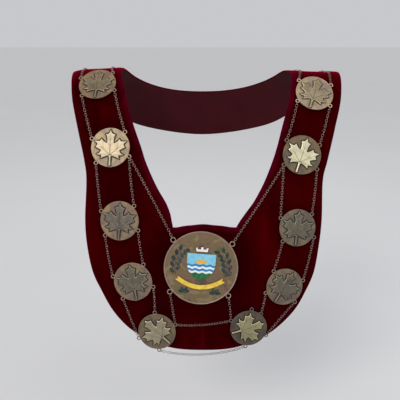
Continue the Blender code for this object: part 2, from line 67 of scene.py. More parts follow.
# Floor, surround and lights
FLOOR_DROP = 0.16
FLOOR_SIZE = 24.0
SURROUND_COLOUR = (0.60, 0.61, 0.63)
SURROUND_STRENGTH = 0.95
# The lights point at this place. The far one's own place only says where it shines from.
MIDDLE = (0.0, -0.08, -0.15)
# name, kind, place, spread in degrees or width in metres, strength, colour
LIGHTS = (
    ("key", "SUN", (-0.85, -1.30, 0.95), 32.0, 1.5, (1.0, 0.98, 0.95)),
    ("fill", "AREA", (1.20, -1.10, 0.55), 1.2, 7.0, (0.94, 0.97, 1.0)),
    ("top", "AREA", (0.0, 0.55, 1.20), 1.2, 6.0, (1.0, 1.0, 1.0)),
)

# Form of the shoulders, chest and back that the collar follows
SHOULDER_RADIUS = 0.088
SHOULDER_END = 26.0
CHEST_END = 5.0
BACK_RADIUS = 0.062
BACK_SHOULDER_END = 27.0
BACK_END = 10.0
CHEST_ROUND = 0.330
SHOULDER_SLOPE = 0.04
SLOPE_REACH = 0.130
NECK_ROUND = 0.030
STRAP_MIDDLE = 0.153
# Step by which the form's slopes are felt, and how often a place on it is sought again
PROBE = 0.0005
PLACE_ROUNDS = 12
# Where a disc may touch the form: so many directions, and shares of its radius
SEAT_TURNS = 24
SEAT_REACHES = (0.35, 0.7, 1.0)

# Velvet collar
COLLAR_FRONT = 0.422
COLLAR_BACK = 0.152
COLLAR_HALF_WIDTH = 0.187
CLOTH_WALL = 0.003
CLOTH_STATIONS = 8
CLOTH_COLUMNS = 26
# Steps round each turned edge, and how far in from it the first columns of the face lie
EDGE_STEPS = 6
EDGE_REACHES = (0.0, 0.0013, 0.0028, 0.0045, 0.0065, 0.0090)
# The face rolls down over a band along its edges, and there a painted crimson sheen lights it up,
# dimly along the outer one
EDGE_BAND = 0.0080
EDGE_ROLL = 0.0007
OUTER_PAINTED_SHEEN = 0.12
# Painted shade on the pile beside each disc, as its contact shadow, fading over a reach
MEDAL_SHADE = 0.50
MEDAL_SHADE_REACH = 0.008
BADGE_SHADE = 0.65
BADGE_SHADE_REACH = 0.022

# Leaf medals
MEDAL_DIAMETER = 0.051
MEDAL_THICKNESS = 0.002
MEDAL_EDGE = 0.0004
LEAF_RELIEF = 0.0009
LEAF_EDGE = 0.0007
LEAF_LEAN = 12.5
MOAT_WIDTH = 0.0025
MOAT_DEPTH = 0.0006
GROOVE_STEPS = 7
VEIN_DEPTH = 0.00036
VEIN_LIFT = 0.00003
VEIN_TAPER = 0.45
# The medal's outer band is painted bright over this width, as worn metal and as a painted highlight
RUBBED_HIGHLIGHT_WIDTH = 0.0012
# Width and depth of the leaf's rim that is painted bright, as worn metal and as a painted
# highlight, as shares of LEAF_EDGE, and how soon the moat turns dark below the field
EDGE_SHARE = 0.85
RUBBED_HIGHLIGHT_SHARE = 0.6
MOAT_DARKENING = 4.0
EYELET_DIAMETER = 0.0058
EYELET_WIRE = 0.0013
EYELET_REACH = 0.002
EYELET_SPREAD = 36.0
BACK_EYELET_REACH = 0.0006
COIN_SIDES = 96

# Centre badge
BADGE_DIAMETER = 0.0975
BADGE_THICKNESS = 0.0026
BADGE_RIM_WIDTH = 0.0012
BADGE_RIM_HEIGHT = 0.0005
BADGE_FIELD = BADGE_THICKNESS - BADGE_RIM_HEIGHT
BADGE_EYELET_DIAMETER = 0.0077
BADGE_EYELET_WIRE = 0.0015
BADGE_EYELET_REACH = 0.0033
BADGE_EYELET_SPREAD = 42.0
BADGE_SIDES = 144
ENAMEL_THICKNESS = 0.001
ENAMEL_EDGE = 0.00025
CLOISON_WIDTH = 0.00045
CLOISON_DEPTH = 0.00016
# The metal line's inner side slopes over a share of its width, and the crest has a finer line
CLOISON_SLOPE = 0.2
CREST_LINE = 0.8
SPRIG_RELIEF = 0.0007

# Chains
LINK_WIRE = 0.00058
LINK_WIDTH = 0.0036
LINK_PITCH = 0.0034
LINK_SIDES = 14
LINK_WIRE_SIDES = 5
# A chain leaves its eyelet's height over this length, and then lies a little way in the pile,
# deeper where it crosses the ridge of the shoulders
SETTLE_LENGTH = 0.014
PILE_DEPTH = 0.0006
RIDGE_PRESS = 0.0008
# The ridge starts where the velvet faces up so far, and is at its height a span further
RIDGE_START = 0.60
RIDGE_SPAN = 0.35
# Painted shade: how much darker a chain is painted on the ridge of the shoulders and along the hem
RIDGE_PAINTED_SHADE = 0.75
HEM_PAINTED_SHADE = 0.65
# A link is painted bright towards its tips, as worn metal and as a painted highlight: from the
# first share of the way to them, and wholly from the second
WEAR_HIGHLIGHT_START = 17 / 28
WEAR_HIGHLIGHT_END = 27 / 28
# Links over which a chain takes a quarter turn, the angle by which its links wander, and how far
# the wandering goes on from link to link
TWISTED_LINKS = 5
LINK_WANDER = 0.14
WANDER_STEP = 1.7
ROUTE_SAMPLES = 240

# Pieces lie this far apart, and points this close together count as one
GAP = 0.0003
WELD = 0.000002
# Edges under these angles in degrees are shaded smooth, and under a slight one they are dissolved
SMOOTH_ANGLE = 50.0
LEAF_SMOOTH_ANGLE = 40.0
FLAT_ANGLE = 0.5

# Sections of the collar from the middle of the hem round to the middle of the back.
# Halves and sways are shares of COLLAR_HALF_WIDTH. Runs are shares of COLLAR_FRONT,
# or of COLLAR_BACK where they are negative.
# neck half, neck run, neck sway, outer half, outer run, outer sway
COLLAR_SECTIONS = (
    (0.000, 0.586, 0.000, 0.000, 1.000, 0.000),
    (0.075, 0.589, 0.000, 0.193, 0.996, 0.000),
    (0.139, 0.592, 0.003, 0.332, 0.981, 0.000),
    (0.187, 0.596, 0.008, 0.449, 0.959, 0.000),
    (0.222, 0.597, 0.011, 0.561, 0.924, 0.000),
    (0.241, 0.576, 0.021, 0.666, 0.873, 0.005),
    (0.267, 0.552, 0.035, 0.741, 0.813, 0.006),
    (0.307, 0.521, 0.047, 0.799, 0.754, 0.003),
    (0.353, 0.486, 0.046, 0.832, 0.675, 0.000),
    (0.396, 0.448, 0.045, 0.848, 0.588, 0.003),
    (0.447, 0.393, 0.043, 0.845, 0.462, 0.011),
    (0.481, 0.346, 0.043, 0.869, 0.398, 0.021),
    (0.524, 0.284, 0.037, 0.918, 0.303, 0.025),
    (0.561, 0.227, 0.035, 0.963, 0.213, 0.026),
    (0.594, 0.166, 0.035, 0.985, 0.137, 0.026),
    (0.623, 0.085, 0.027, 0.997, 0.076, 0.025),
    (0.631, 0.012, 0.024, 1.000, 0.012, 0.024),
    (0.620, -0.145, 0.018, 0.989, -0.197, 0.018),
    (0.556, -0.303, 0.012, 0.936, -0.447, 0.012),
    (0.417, -0.421, 0.006, 0.781, -0.697, 0.006),
    (0.225, -0.487, 0.000, 0.524, -0.895, 0.000),
    (0.000, -0.507, 0.000, 0.000, -1.000, 0.000),
)
# The section at the sharp corner of the neckline, and the columns that break there
NECK_CORNER = 4
NECK_COLUMNS = (0, 1, 2)
# The columns that change sign across the middle line
HALF_COLUMNS = (0, 3)

# Soft hollows of the velvet between what lies on it
# across, run, half width, half length, lean in degrees, depth
HOLLOWS = (
    (0.062, 0.262, 0.010, 0.060, -4.0, 0.0011),
    (0.098, 0.300, 0.012, 0.050, 8.0, 0.0009),
    (0.000, 0.402, 0.016, 0.018, 0.0, 0.0008),
    (-0.060, 0.300, 0.012, 0.055, 6.0, 0.0009),
    (-0.150, 0.200, 0.009, 0.045, 4.0, 0.0010),
    (-0.126, 0.105, 0.016, 0.022, 10.0, 0.0011),
    (-0.178, 0.100, 0.010, 0.020, 0.0, 0.0016),
    (0.145, 0.115, 0.014, 0.026, -6.0, 0.0010),
    (0.184, 0.120, 0.010, 0.022, 0.0, 0.0012),
    (0.136, 0.210, 0.012, 0.040, -3.0, 0.0008),
    (-0.070, 0.385, 0.020, 0.014, 30.0, 0.0009),
    (0.085, 0.380, 0.018, 0.014, -30.0, 0.0009),
    (0.150, -0.004, 0.052, 0.022, 0.0, 0.0064),
    (0.171, -0.002, 0.006, 0.020, 12.0, 0.0022),
    (-0.150, -0.004, 0.050, 0.022, 0.0, 0.0018),
    (-0.183, -0.002, 0.012, 0.026, 0.0, 0.0016),
    (0.000, -0.115, 0.040, 0.016, 0.0, 0.0014),
    (-0.110, -0.070, 0.018, 0.024, 40.0, 0.0012),
    (0.112, -0.070, 0.018, 0.024, -40.0, 0.0012),
)

# Painted streaks on the pile: painted highlights where it seems to catch the light, and painted
# shade where strength is negative
# across, run, half width, half length, lean in degrees, strength
PAINTED_STREAKS = (
    (0.080, 0.262, 0.0060, 0.034, -2.0, 0.20),
    (0.096, 0.300, 0.0070, 0.030, 8.0, 0.10),
    (0.000, 0.404, 0.0030, 0.016, 0.0, 0.25),
    (0.150, 0.215, 0.0080, 0.030, 0.0, 0.08),
    (-0.152, 0.215, 0.0050, 0.030, -2.0, 0.10),
    (-0.128, 0.096, 0.0100, 0.010, 0.0, 0.08),
    (0.048, 0.300, 0.0140, 0.055, 0.0, -0.55),
    (0.106, 0.245, 0.0080, 0.040, 4.0, -0.45),
    (-0.064, 0.310, 0.0160, 0.060, -4.0, -0.35),
    (-0.140, 0.120, 0.0200, 0.010, 0.0, -0.30),
    (-0.100, 0.330, 0.0120, 0.040, -8.0, -0.25),
    (0.050, 0.370, 0.0320, 0.018, 4.0, -0.55),
    (-0.052, 0.366, 0.0360, 0.018, 0.0, -0.45),
    (-0.050, 0.402, 0.0200, 0.014, 0.0, -0.30),
    (0.044, 0.404, 0.0160, 0.014, 0.0, -0.40),
    (-0.178, 0.050, 0.0080, 0.034, 0.0, 0.32),
    (-0.150, 0.004, 0.0420, 0.014, 0.0, -0.75),
)

# Medals: centre across as a share of COLLAR_HALF_WIDTH, run as a share of COLLAR_FRONT,
# diameter as a share of MEDAL_DIAMETER, turn in degrees against the clock, the tones of the
# field and of the leaf, which hold each medal's own patina and painted light as well, lighter
# on the medals that face the light, and how bright the leaf is worn and painted as a highlight.
# name, across, run, size, turn, field, leaf, polish_and_highlight
MEDALS = (
    ("medal_l1", -0.761, 0.139, 0.985, 9.0, (0.251, 0.181, 0.113), (0.216, 0.164, 0.103), 0.35),
    ("medal_l2", -0.652, 0.352, 1.020, 10.0, (0.327, 0.266, 0.176), (0.376, 0.306, 0.204), 0.95),
    ("medal_l3", -0.587, 0.581, 1.015, 9.0, (0.245, 0.186, 0.127), (0.152, 0.132, 0.106), 0.30),
    ("medal_l4", -0.496, 0.773, 1.015, 23.0, (0.262, 0.203, 0.144), (0.178, 0.157, 0.118), 0.25),
    ("medal_l5", -0.330, 0.935, 0.995, 59.5, (0.210, 0.164, 0.118), (0.383, 0.328, 0.219), 0.75),
    ("medal_r1", 0.798, 0.175, 0.990, -7.0, (0.423, 0.338, 0.226), (0.357, 0.291, 0.188), 0.40),
    ("medal_r2", 0.697, 0.376, 1.015, -7.0, (0.179, 0.138, 0.089), (0.536, 0.482, 0.321), 1.00),
    ("medal_r3", 0.666, 0.605, 0.967, 6.0, (0.190, 0.156, 0.113), (0.156, 0.143, 0.103), 0.30),
    ("medal_r4", 0.580, 0.792, 0.972, -19.5, (0.225, 0.181, 0.130), (0.173, 0.151, 0.113), 0.30),
    ("medal_r5", 0.327, 0.923, 0.975, -62.0, (0.138, 0.113, 0.091), (0.363, 0.320, 0.181), 0.80),
)
BACK_EYELET_MEDAL = "medal_r5"
BACK_EYELET_ANGLE = 112.0
BADGE_ACROSS = -0.015
BADGE_RUN = 0.7225
BADGE_TURN = -4.0

# Right half of the leaf's outline from its tip to its stem, as shares of the medal's radius
# across, up
LEAF_HALF = (
    (0.000, 0.900),
    (0.045, 0.775),
    (0.105, 0.700),
    (0.252, 0.662),
    (0.205, 0.560),
    (0.165, 0.390),
    (0.175, 0.205),
    (0.320, 0.285),
    (0.405, 0.360),
    (0.465, 0.450),
    (0.520, 0.345),
    (0.590, 0.312),
    (0.850, 0.330),
    (0.730, 0.235),
    (0.675, 0.145),
    (0.775, 0.008),
    (0.620, -0.070),
    (0.480, -0.145),
    (0.530, -0.255),
    (0.600, -0.320),
    (0.718, -0.360),
    (0.565, -0.405),
    (0.455, -0.400),
    (0.450, -0.480),
    (0.498, -0.585),
    (0.330, -0.505),
    (0.190, -0.450),
    (0.075, -0.430),
    (0.045, -0.490),
    (0.040, -0.800),
    (0.055, -0.930),
)
# Veins of the leaf's right half, as shares of the medal's radius, with their width
# from across, from up, to across, to up, width
LEAF_VEINS = (
    (0.000, -0.400, 0.000, 0.760, 0.026),
    (0.000, -0.400, 0.720, 0.245, 0.024),
    (0.000, -0.400, 0.580, -0.355, 0.020),
    (0.000, 0.330, 0.165, 0.560, 0.018),
    (0.000, 0.060, 0.110, 0.230, 0.016),
    (0.340, -0.095, 0.430, 0.320, 0.018),
    (0.400, -0.045, 0.660, 0.035, 0.017),
    (0.290, -0.380, 0.420, -0.500, 0.016),
)

# Right half of the shield from its top to its foot, as shares of the badge's radius
# across, up
SHIELD_HALF = (
    (0.000, 0.410),
    (0.400, 0.410),
    (0.400, 0.090),
    (0.350, -0.080),
    (0.240, -0.220),
    (0.110, -0.310),
    (0.000, -0.345),
)
# Right half of the crest above the shield, with a wall's merlons, as shares of the badge's radius
# across, up
CREST_HALF = (
    (0.000, 0.590),
    (0.045, 0.590),
    (0.045, 0.530),
    (0.105, 0.530),
    (0.105, 0.570),
    (0.185, 0.570),
    (0.160, 0.440),
    (0.000, 0.440),
)
# The ribbon's middle line, a parabola from the middle out to its swallow tails, as shares of the
# badge's radius
RIBBON_REACH = 0.665
RIBBON_MIDDLE_LEVEL = -0.520
RIBBON_RISE = 0.250
RIBBON_STEPS = 24
RIBBON_WIDTH = 0.150
RIBBON_NOTCH = 0.060

# Laurel sprigs on the badge, as shares of its radius, and their angles from the right
SPRIG_RADIUS = 0.700
SPRIG_STAGGER = 0.085
SPRIG_LEAF_LENGTH = 0.180
SPRIG_LEAF_WIDTH = 0.070
SPRIG_LEAVES = 10
SPRIG_FIRST_ANGLE = -8.0
SPRIG_STEP_ANGLE = 6.4
SPRIG_LEAF_TILT = 36.0
SPRIG_FULLNESS = 1.45
# A stem starts so many leaf steps before the first leaf. How thick it is at the start and how
# high its middle lies are shares of SPRIG_RELIEF, how much it thins is a share of its thickness.
STEM_SWEEP = 1.4
STEM_THICKNESS = 0.55
STEM_RISE = 0.2
STEM_THINNING = 0.5
STEM_STEPS = 24
BERRY_RADIUS = 0.00085
BERRY_STAGGER = 0.75 * SPRIG_STAGGER
# A leaf's midrib, with its depth as a share of the leaf's height and its width as one of the
# leaf's half width, and the power that draws the leaf's ends to points
MIDRIB_DEPTH = 0.55
MIDRIB_WIDTH = 0.16
LEAF_POINT = 0.35
# Two small tufts below the ribbon, each of leaves that spread from one spot
TUFT_ANGLE = -58.0
TUFT_RADIUS = 0.800
TUFT_SPREAD = 0.42
TUFT_HEADINGS = (10.0, 60.0, 120.0, 170.0)

# Levels and waves of the shield's design, as shares of the badge's radius
SEA_LEVEL = 0.105
SHORE_LEVEL = -0.135
SEA_BANDS = 4
# How far the design keeps in from the shield's edge, in widths of the metal line, and how much
# more so along the sloping foot
DESIGN_INSET = 1.3
FOOT_INSET = 1.3
BAND_GAP = 0.006
BAND_STEPS = 60
BAND_LEAST = 0.004
WAVE_HEIGHT = 0.014
WAVE_LENGTH = 0.190
SUN_LEVEL = 0.125
SUN_RADIUS = 0.105
SUN_RAYS = 7
SUN_RAY_LENGTH = 0.090
SUN_RAY_FOOT = 0.02
SUN_RAY_WIDTH = 0.45
# How high the shield's design stands over its enamel, and how far its edges are rounded
BAND_RELIEF = 0.00014
BAND_EDGE = 0.00004
MOUND_RELIEF = 0.00022
MOUND_EDGE = 0.00005

# Enamels, each with its colour and the deeper one that it has in places
ENAMELS = {
    "laurel": ((0.011, 0.036, 0.024), (0.003, 0.011, 0.010)),
    "sky": ((0.22, 0.56, 0.72), (0.16, 0.46, 0.64)),
    "white": ((0.80, 0.80, 0.76), (0.66, 0.67, 0.63)),
    "yellow": ((0.78, 0.56, 0.060), (0.62, 0.40, 0.035)),
    "sea": ((0.035, 0.20, 0.46), (0.020, 0.12, 0.34)),
    "foam": ((0.78, 0.80, 0.78), (0.64, 0.70, 0.72)),
    "mound": ((0.012, 0.16, 0.040), (0.006, 0.085, 0.024)),
    "sun": ((0.80, 0.50, 0.050), (0.66, 0.36, 0.030)),
}

# Sideways bows in metres of the chains down each side, from each medal to the next: between
# their left eyelets, then between their right ones
SIDE_BOWS = {
    "l": ((-0.001, -0.001), (-0.001, -0.001), (-0.0015, -0.001), (-0.0005, 0.0005)),
    "r": ((0.001, 0.001), (0.0, 0.001), (0.001, 0.001), (0.001, 0.0)),
}
# Which edge of the collar the left and the right chain of a side are nearer to
SIDE_EDGES = {"l": ("outer", "inner"), "r": ("inner", "outer")}
# The other chains between eyelets, with the sideways and the downward bow of each in metres
# name, first disc, first eyelet, second disc, second eyelet, bow across, bow down
CHAINS = (
    ("chain_l2_badge", "medal_l2", "lr", "badge_disc", "ul", 0.001, 0.0),
    ("chain_r2_badge", "medal_r2", "ll", "badge_disc", "ur", 0.001, 0.0),
    ("chain_badge_l5", "badge_disc", "ll", "medal_l5", "lr", -0.0005, 0.0),
    ("chain_badge_r5", "badge_disc", "lr", "medal_r5", "ll", 0.0005, 0.0),
    ("chain_cross", "medal_l5", "lr", "medal_r5", "ll", 0.0, 0.003),
    ("chain_hem", "medal_l5", "ll", "medal_r5", "lr", 0.0, 0.008),
)
# Chains that go over the shoulders and round the back, along the band of the collar:
# name, left eyelet, right eyelet, place across the band behind, and over the left and right ridge
BACK_CHAINS = (
    ("chain_back_outer", "ul", "ur", 0.66, 0.80, 0.78),
    ("chain_back_inner", "ur", "ul", 0.30, 0.225, 0.24),
)
RIDGE_SECTION = 16
# Sections of the collar that the back chains cross on each side
BACK_CHAIN_SECTIONS = (17, 18, 19, 20)
# How far the chains still keep to their places over the ridge at each of these sections
BACK_CHAIN_KEEPS = (1.0, 0.5, 0.0, 0.0)


# Form of the collar


def smooth_step(value):
    """Ease from 0 to 1."""
    value = min(1.0, max(0.0, value))
    return value * value * (3.0 - 2.0 * value)


def profile(run):
    """Forward and upward place of the form at a run from the ridge, negative down the back."""
    if run >= 0.0:
        radius, bend, tail, length, side = SHOULDER_RADIUS, SHOULDER_END, CHEST_END, COLLAR_FRONT, 1.0
    else:
        radius, bend, tail, length, side = BACK_RADIUS, BACK_SHOULDER_END, BACK_END, COLLAR_BACK, -1.0
    bend = math.radians(bend)
    tail = math.radians(tail)
    shoulder = radius * (math.pi / 2 - bend)
    along = abs(run)
    if along <= shoulder:
        angle = math.pi / 2 - along / radius
        return side * radius * math.cos(angle), radius * (math.sin(angle) - 1.0)
    slow_radius = (length - shoulder) / (bend - tail)
    angle = bend - (along - shoulder) / slow_radius
    forward = radius * math.cos(bend) + slow_radius * (math.cos(angle) - math.cos(bend))
    up = radius * (math.sin(bend) - 1.0) + slow_radius * (math.sin(angle) - math.sin(bend))
    return side * forward, up


def form_point(across, run):
    """Point of the velvet's face at a place across and a run from the ridge."""
    forward, up = profile(run)
    round_off = 1.0 - 0.5 * (across / CHEST_ROUND) ** 2
    fade = 1.0 - smooth_step(abs(run) / SLOPE_REACH)
    slope = math.hypot(across, NECK_ROUND) - math.hypot(STRAP_MIDDLE, NECK_ROUND)
    return Vector((across, -forward * round_off, up - SHOULDER_SLOPE * slope * fade))


def form_slopes(across, run):
    """How the velvet's face moves for each metre across and for each metre of the run."""
    side = (form_point(across + PROBE, run) - form_point(across - PROBE, run)) / (2 * PROBE)
    down = (form_point(across, run + PROBE) - form_point(across, run - PROBE)) / (2 * PROBE)
    return side, down


def form_directions(across, run):
    """Unit vectors of the velvet's face: to the right, up the run, and outward."""
    side, down = form_slopes(across, run)
    up = -down.normalized()
    outward = side.cross(up).normalized()
    return up.cross(outward).normalized(), up, outward


def form_place(point, across, run):
    """Place across, run and height of a point over the velvet, found by steps from a guess."""
    for _ in range(PLACE_ROUNDS):
        offset = point - form_point(across, run)
        side, down = form_slopes(across, run)
        across += offset.dot(side) / side.length_squared
        run += offset.dot(down) / down.length_squared
    height = (point - form_point(across, run)).dot(form_directions(across, run)[2])
    return across, run, height


def curve_value(start, start_slope, end, end_slope, share):
    """Value at a share of a smooth curve with the given ends and slopes."""
    square = share * share
    cube = square * share
    return (
        start * (2 * cube - 3 * square + 1)
        + start_slope * (cube - 2 * square + share)
        + end * (3 * square - 2 * cube)
        + end_slope * (cube - square)
    )


def section_slope(column, index, ahead):
    """Slope of a column at a row, broken only at the neckline's sharp corner."""
    before = COLLAR_SECTIONS[max(index - 1, 0)][column]
    here = COLLAR_SECTIONS[index][column]
    after = COLLAR_SECTIONS[min(index + 1, len(COLLAR_SECTIONS) - 1)][column]
    if index in (0, len(COLLAR_SECTIONS) - 1):
        return after - before if column in HALF_COLUMNS else 0.0
    if index == NECK_CORNER and column in NECK_COLUMNS:
        return after - here if ahead else here - before
    return (after - before) / 2


def section_values(place):
    """Values of the collar's sections at a place between two rows, on a smooth curve."""
    first = min(int(place), len(COLLAR_SECTIONS) - 2)
    values = []
    for column, (start, end) in enumerate(zip(COLLAR_SECTIONS[first], COLLAR_SECTIONS[first + 1])):
        start_slope = section_slope(column, first, True)
        end_slope = section_slope(column, first + 1, False)
        values.append(curve_value(start, start_slope, end, end_slope, place - first))
    return values


def band_place(section, share, side):
    """Place across and run at a share of the way from the neck edge to the outer edge."""
    values = section_values(section)
    edges = []
    for half, run, sway in (values[:3], values[3:]):
        length = COLLAR_FRONT if run >= 0 else COLLAR_BACK
        edges.append(((side * half + sway) * COLLAR_HALF_WIDTH, run * length))
    return tuple(neck + (outer - neck) * share for neck, outer in zip(*edges))


def seat_matrix(across, run, turn, radius):
    """Frame of a disc that rests on the velvet, its underside clear of every bulge."""
    right, up, outward = form_directions(across, run)
    centre = form_point(across, run)
    lift = 0.0
    for step in range(SEAT_TURNS):
        around = 2 * math.pi * step / SEAT_TURNS
        for reach in SEAT_REACHES:
            probe_across = across + reach * radius * math.cos(around)
            probe_run = run + reach * radius * math.sin(around)
            lift = max(lift, (form_point(probe_across, probe_run) - centre).dot(outward))
    angle = math.radians(turn)
    turned_right = right * math.cos(angle) + up * math.sin(angle)
    turned_up = up * math.cos(angle) - right * math.sin(angle)
    matrix = Matrix((turned_right, turned_up, outward)).transposed().to_4x4()
    matrix.translation = centre + outward * (lift + GAP)
    return matrix


# Finishes


class Value:
    """A shader value, whose sums and products become Math nodes."""

    def __init__(self, recipe, socket):
        self.recipe = recipe
        self.socket = socket

    def __add__(self, other):
        return self.recipe.maths("ADD", self, other)

    def __radd__(self, other):
        return self.recipe.maths("ADD", other, self)

    def __rsub__(self, other):
        return self.recipe.maths("SUBTRACT", other, self)

    def __mul__(self, other):
        return self.recipe.maths("MULTIPLY", self, other)

    def __rmul__(self, other):
        return self.recipe.maths("MULTIPLY", other, self)


class Recipe:
    """A material in the making, on one Principled shader."""

    def __init__(self, name, **fixed):
        self.material = bpy.data.materials.new(name)
        self.material.use_nodes = True
        self.nodes = self.material.node_tree.nodes
        self.links = self.material.node_tree.links
        self.shader = self.nodes["Principled BSDF"]
        for socket, value in fixed.items():
            self.shader.inputs[socket.replace("_", " ")].default_value = value

    def make(self, kind, settings, sockets, output=0):
        """Make a node, set it, join its sockets and give one of its outputs."""
        node = self.nodes.new(kind)
        for name, value in settings.items():
            if name == "stops":
                self.set_stops(node.color_ramp, value)
            else:
                setattr(node, name, value)
        for name, value in sockets.items():
            if isinstance(value, Value):
                self.links.new(value.socket, node.inputs[name])
            else:
                node.inputs[name].default_value = value
        return Value(self, node.outputs[output])

    def set_stops(self, ramp, stops):
        """Give a colour ramp its stops, each a place and a colour."""
        while len(ramp.elements) < len(stops):
            ramp.elements.new(0.5)
        for element, (place, colour) in zip(ramp.elements, stops):
            element.position = place
            element.color = (*colour, 1.0)

    def maths(self, operation, first, second):
        """One Math node on two values."""
        return self.make("ShaderNodeMath", {"operation": operation}, {0: first, 1: second})

    def place(self, stretch=(1.0, 1.0, 1.0)):
        """The piece's own coordinates, stretched."""
        own = self.make("ShaderNodeTexCoord", {}, {}, "Object")
        return self.make("ShaderNodeMapping", {}, {"Vector": own, "Scale": stretch})

    def grain(self, scale, detail=2.0, stretch=(1.0, 1.0, 1.0), distortion=0.0):
        """Noise with so many grains to the metre."""
        sockets = {"Vector": self.place(stretch), "Scale": scale, "Detail": detail, "Distortion": distortion}
        return self.make("ShaderNodeTexNoise", {}, sockets, "Fac")

    def ease(self, value, low, high):
        """A value from 0 at low to 1 at high, smoothly."""
        settings = {"interpolation_type": "SMOOTHSTEP"}
        return self.make("ShaderNodeMapRange", settings, {"Value": value, "From Min": low, "From Max": high})

    def blend(self, factor, first, second):
        """A colour between two."""
        settings = {"data_type": "RGBA"}
        first, second = (c if isinstance(c, Value) else (*c, 1.0) for c in (first, second))
        return self.make("ShaderNodeMix", settings, {0: factor, 6: first, 7: second}, 2)

    def mark(self, name, output):
        """A value that the piece's mesh holds under a name."""
        stored = self.make("ShaderNodeAttribute", {"attribute_name": name}, {}, "Color")
        return self.make("ShaderNodeSeparateColor", {}, {"Color": stored}, output)

    def relief(self, height, distance, strength=1.0):
        """Bump from a height."""
        sockets = {"Height": height, "Distance": distance, "Strength": strength}
        self.links.new(self.make("ShaderNodeBump", {}, sockets).socket, self.shader.inputs["Normal"])

    def finish(self, **varying):
        """Join the values that change over the surface and give the material."""
        for name, value in varying.items():
            self.links.new(value.socket, self.shader.inputs[name.replace("_", " ")])
        return self.material


def velvet_finish():
    """Burgundy velvet, near black, with painted sheen at its edges, painted highlights and painted shade."""
    recipe = Recipe("velvet pile", Sheen_Weight=1.0, Sheen_Roughness=0.36, Specular_IOR_Level=0.0)
    recipe.shader.inputs["Sheen Tint"].default_value = (0.50, 0.003, 0.040, 1.0)
    # The mesh holds painted light: a painted sheen at the edges, painted highlights and painted shade
    painted_sheen_mark = recipe.mark("nap", 0)
    painted_highlight_mark = recipe.mark("nap", 1)
    shade_mark = recipe.mark("nap", 2)
    nap = recipe.grain(16.0, 3.0, (1.0, 1.0, 0.35), 0.6)
    brushed = recipe.grain(90.0, 2.0, (1.0, 1.0, 0.5))
    pile = recipe.grain(2600.0, 1.0)
    tone = recipe.ease(nap * 0.8 + brushed * 0.2, 0.36, 0.66)
    colour = recipe.blend(tone, (0.024, 0.0001, 0.0003), (0.056, 0.0002, 0.0007))
    # Painted highlights of the streaks, then the painted shade of the streaks and beside the discs
    colour = recipe.blend(painted_highlight_mark, colour, (0.230, 0.0010, 0.0060))
    colour = recipe.blend(shade_mark, colour, (0.012, 0.0001, 0.0002))
    # Painted sheen: the edges are coloured crimson as if they caught the light
    crimson = recipe.blend(recipe.ease(brushed, 0.3, 0.7), (0.060, 0.0003, 0.006), (0.115, 0.0005, 0.016))
    colour = recipe.blend(painted_sheen_mark * (0.34 + 1.0 * nap), colour, crimson)
    tuft = recipe.blend(recipe.ease(pile, 0.3, 0.7), (0.020, 0.0001, 0.0003), colour)
    recipe.relief(pile + brushed * 0.6, 0.0004, 0.5)
    return recipe.finish(Base_Color=tuft, Roughness=0.80 + 0.15 * pile)


def lining_finish():
    """Dark satin lining of the collar, finely woven."""
    recipe = Recipe("satin lining", Specular_IOR_Level=0.15)
    warp = recipe.grain(1500.0, 0.0, (1.0, 1.0, 0.12))
    weft = recipe.grain(1500.0, 0.0, (0.12, 1.0, 1.0))
    shade = recipe.grain(35.0, 2.0)
    colour = recipe.blend(shade, (0.034, 0.001, 0.003), (0.056, 0.002, 0.006))
    recipe.relief(warp + weft, 0.0002, 0.4)
    return recipe.finish(Base_Color=colour, Roughness=0.42 + 0.20 * shade)


def toned(colour, *shares):
    """A colour with each of its values scaled by its share."""
    return tuple(value * share for value, share in zip(colour, shares))


def coin_finish(name, field, leaf, polish_and_highlight):
    """Struck bronze: a mottled field, a leaf worn bright, a worn rim and recesses dark with patina.

    The leaf, its edge, the rim and the eyelets are painted bright as worn metal and as a painted highlight.
    """
    recipe = Recipe(name)
    leaf_mark = recipe.mark("relief", 0)
    dark_mark = recipe.mark("relief", 1)
    rubbed_highlight_mark = recipe.mark("relief", 2)
    clouds = recipe.grain(85.0, 3.0, distortion=0.8)
    specks = recipe.grain(900.0, 2.0)
    scratches = recipe.grain(420.0, 1.0, (1.0, 1.0, 0.08))
    cool = toned(field, 0.74, 0.72, 0.86)
    warm = toned(field, 1.12, 1.07, 0.90)
    rosy = toned(field, 1.55, 1.35, 1.50)
    darkening = toned(field, 0.11, 0.09, 0.055)
    bright = toned(leaf, 1.15, 1.15, 1.15)
    # The leaf is painted brighter on some medals: worn metal, and a painted highlight
    dull = tuple(value * (0.62 + 0.25 * polish_and_highlight) for value in leaf)
    # The leaf's edge, the rim and the eyelets are painted bright: worn metal and a painted highlight
    rubbed_highlight_colour = tuple(min(0.9, 0.20 + value * 1.5) for value in leaf)
    ground = recipe.blend(recipe.ease(clouds, 0.35, 0.65), cool, warm)
    ground = recipe.blend(rubbed_highlight_mark * 0.8, ground, rosy)
    raised = recipe.blend(recipe.ease(specks * 0.5 + clouds * 0.5, 0.36, 0.62), dull, bright)
    raised = recipe.blend(rubbed_highlight_mark * 0.9, raised, rubbed_highlight_colour)
    colour = recipe.blend(leaf_mark, ground, raised)
    colour = recipe.blend(dark_mark * 0.95, colour, darkening)
    recipe.relief(specks * 0.7 + scratches * 0.3, 0.00010, 0.35)
    rough = 0.50 - 0.12 * polish_and_highlight * leaf_mark + 0.14 * specks + 0.15 * dark_mark
    return recipe.finish(Base_Color=colour, Roughness=rough, Metallic=1.0 - 0.55 * dark_mark)


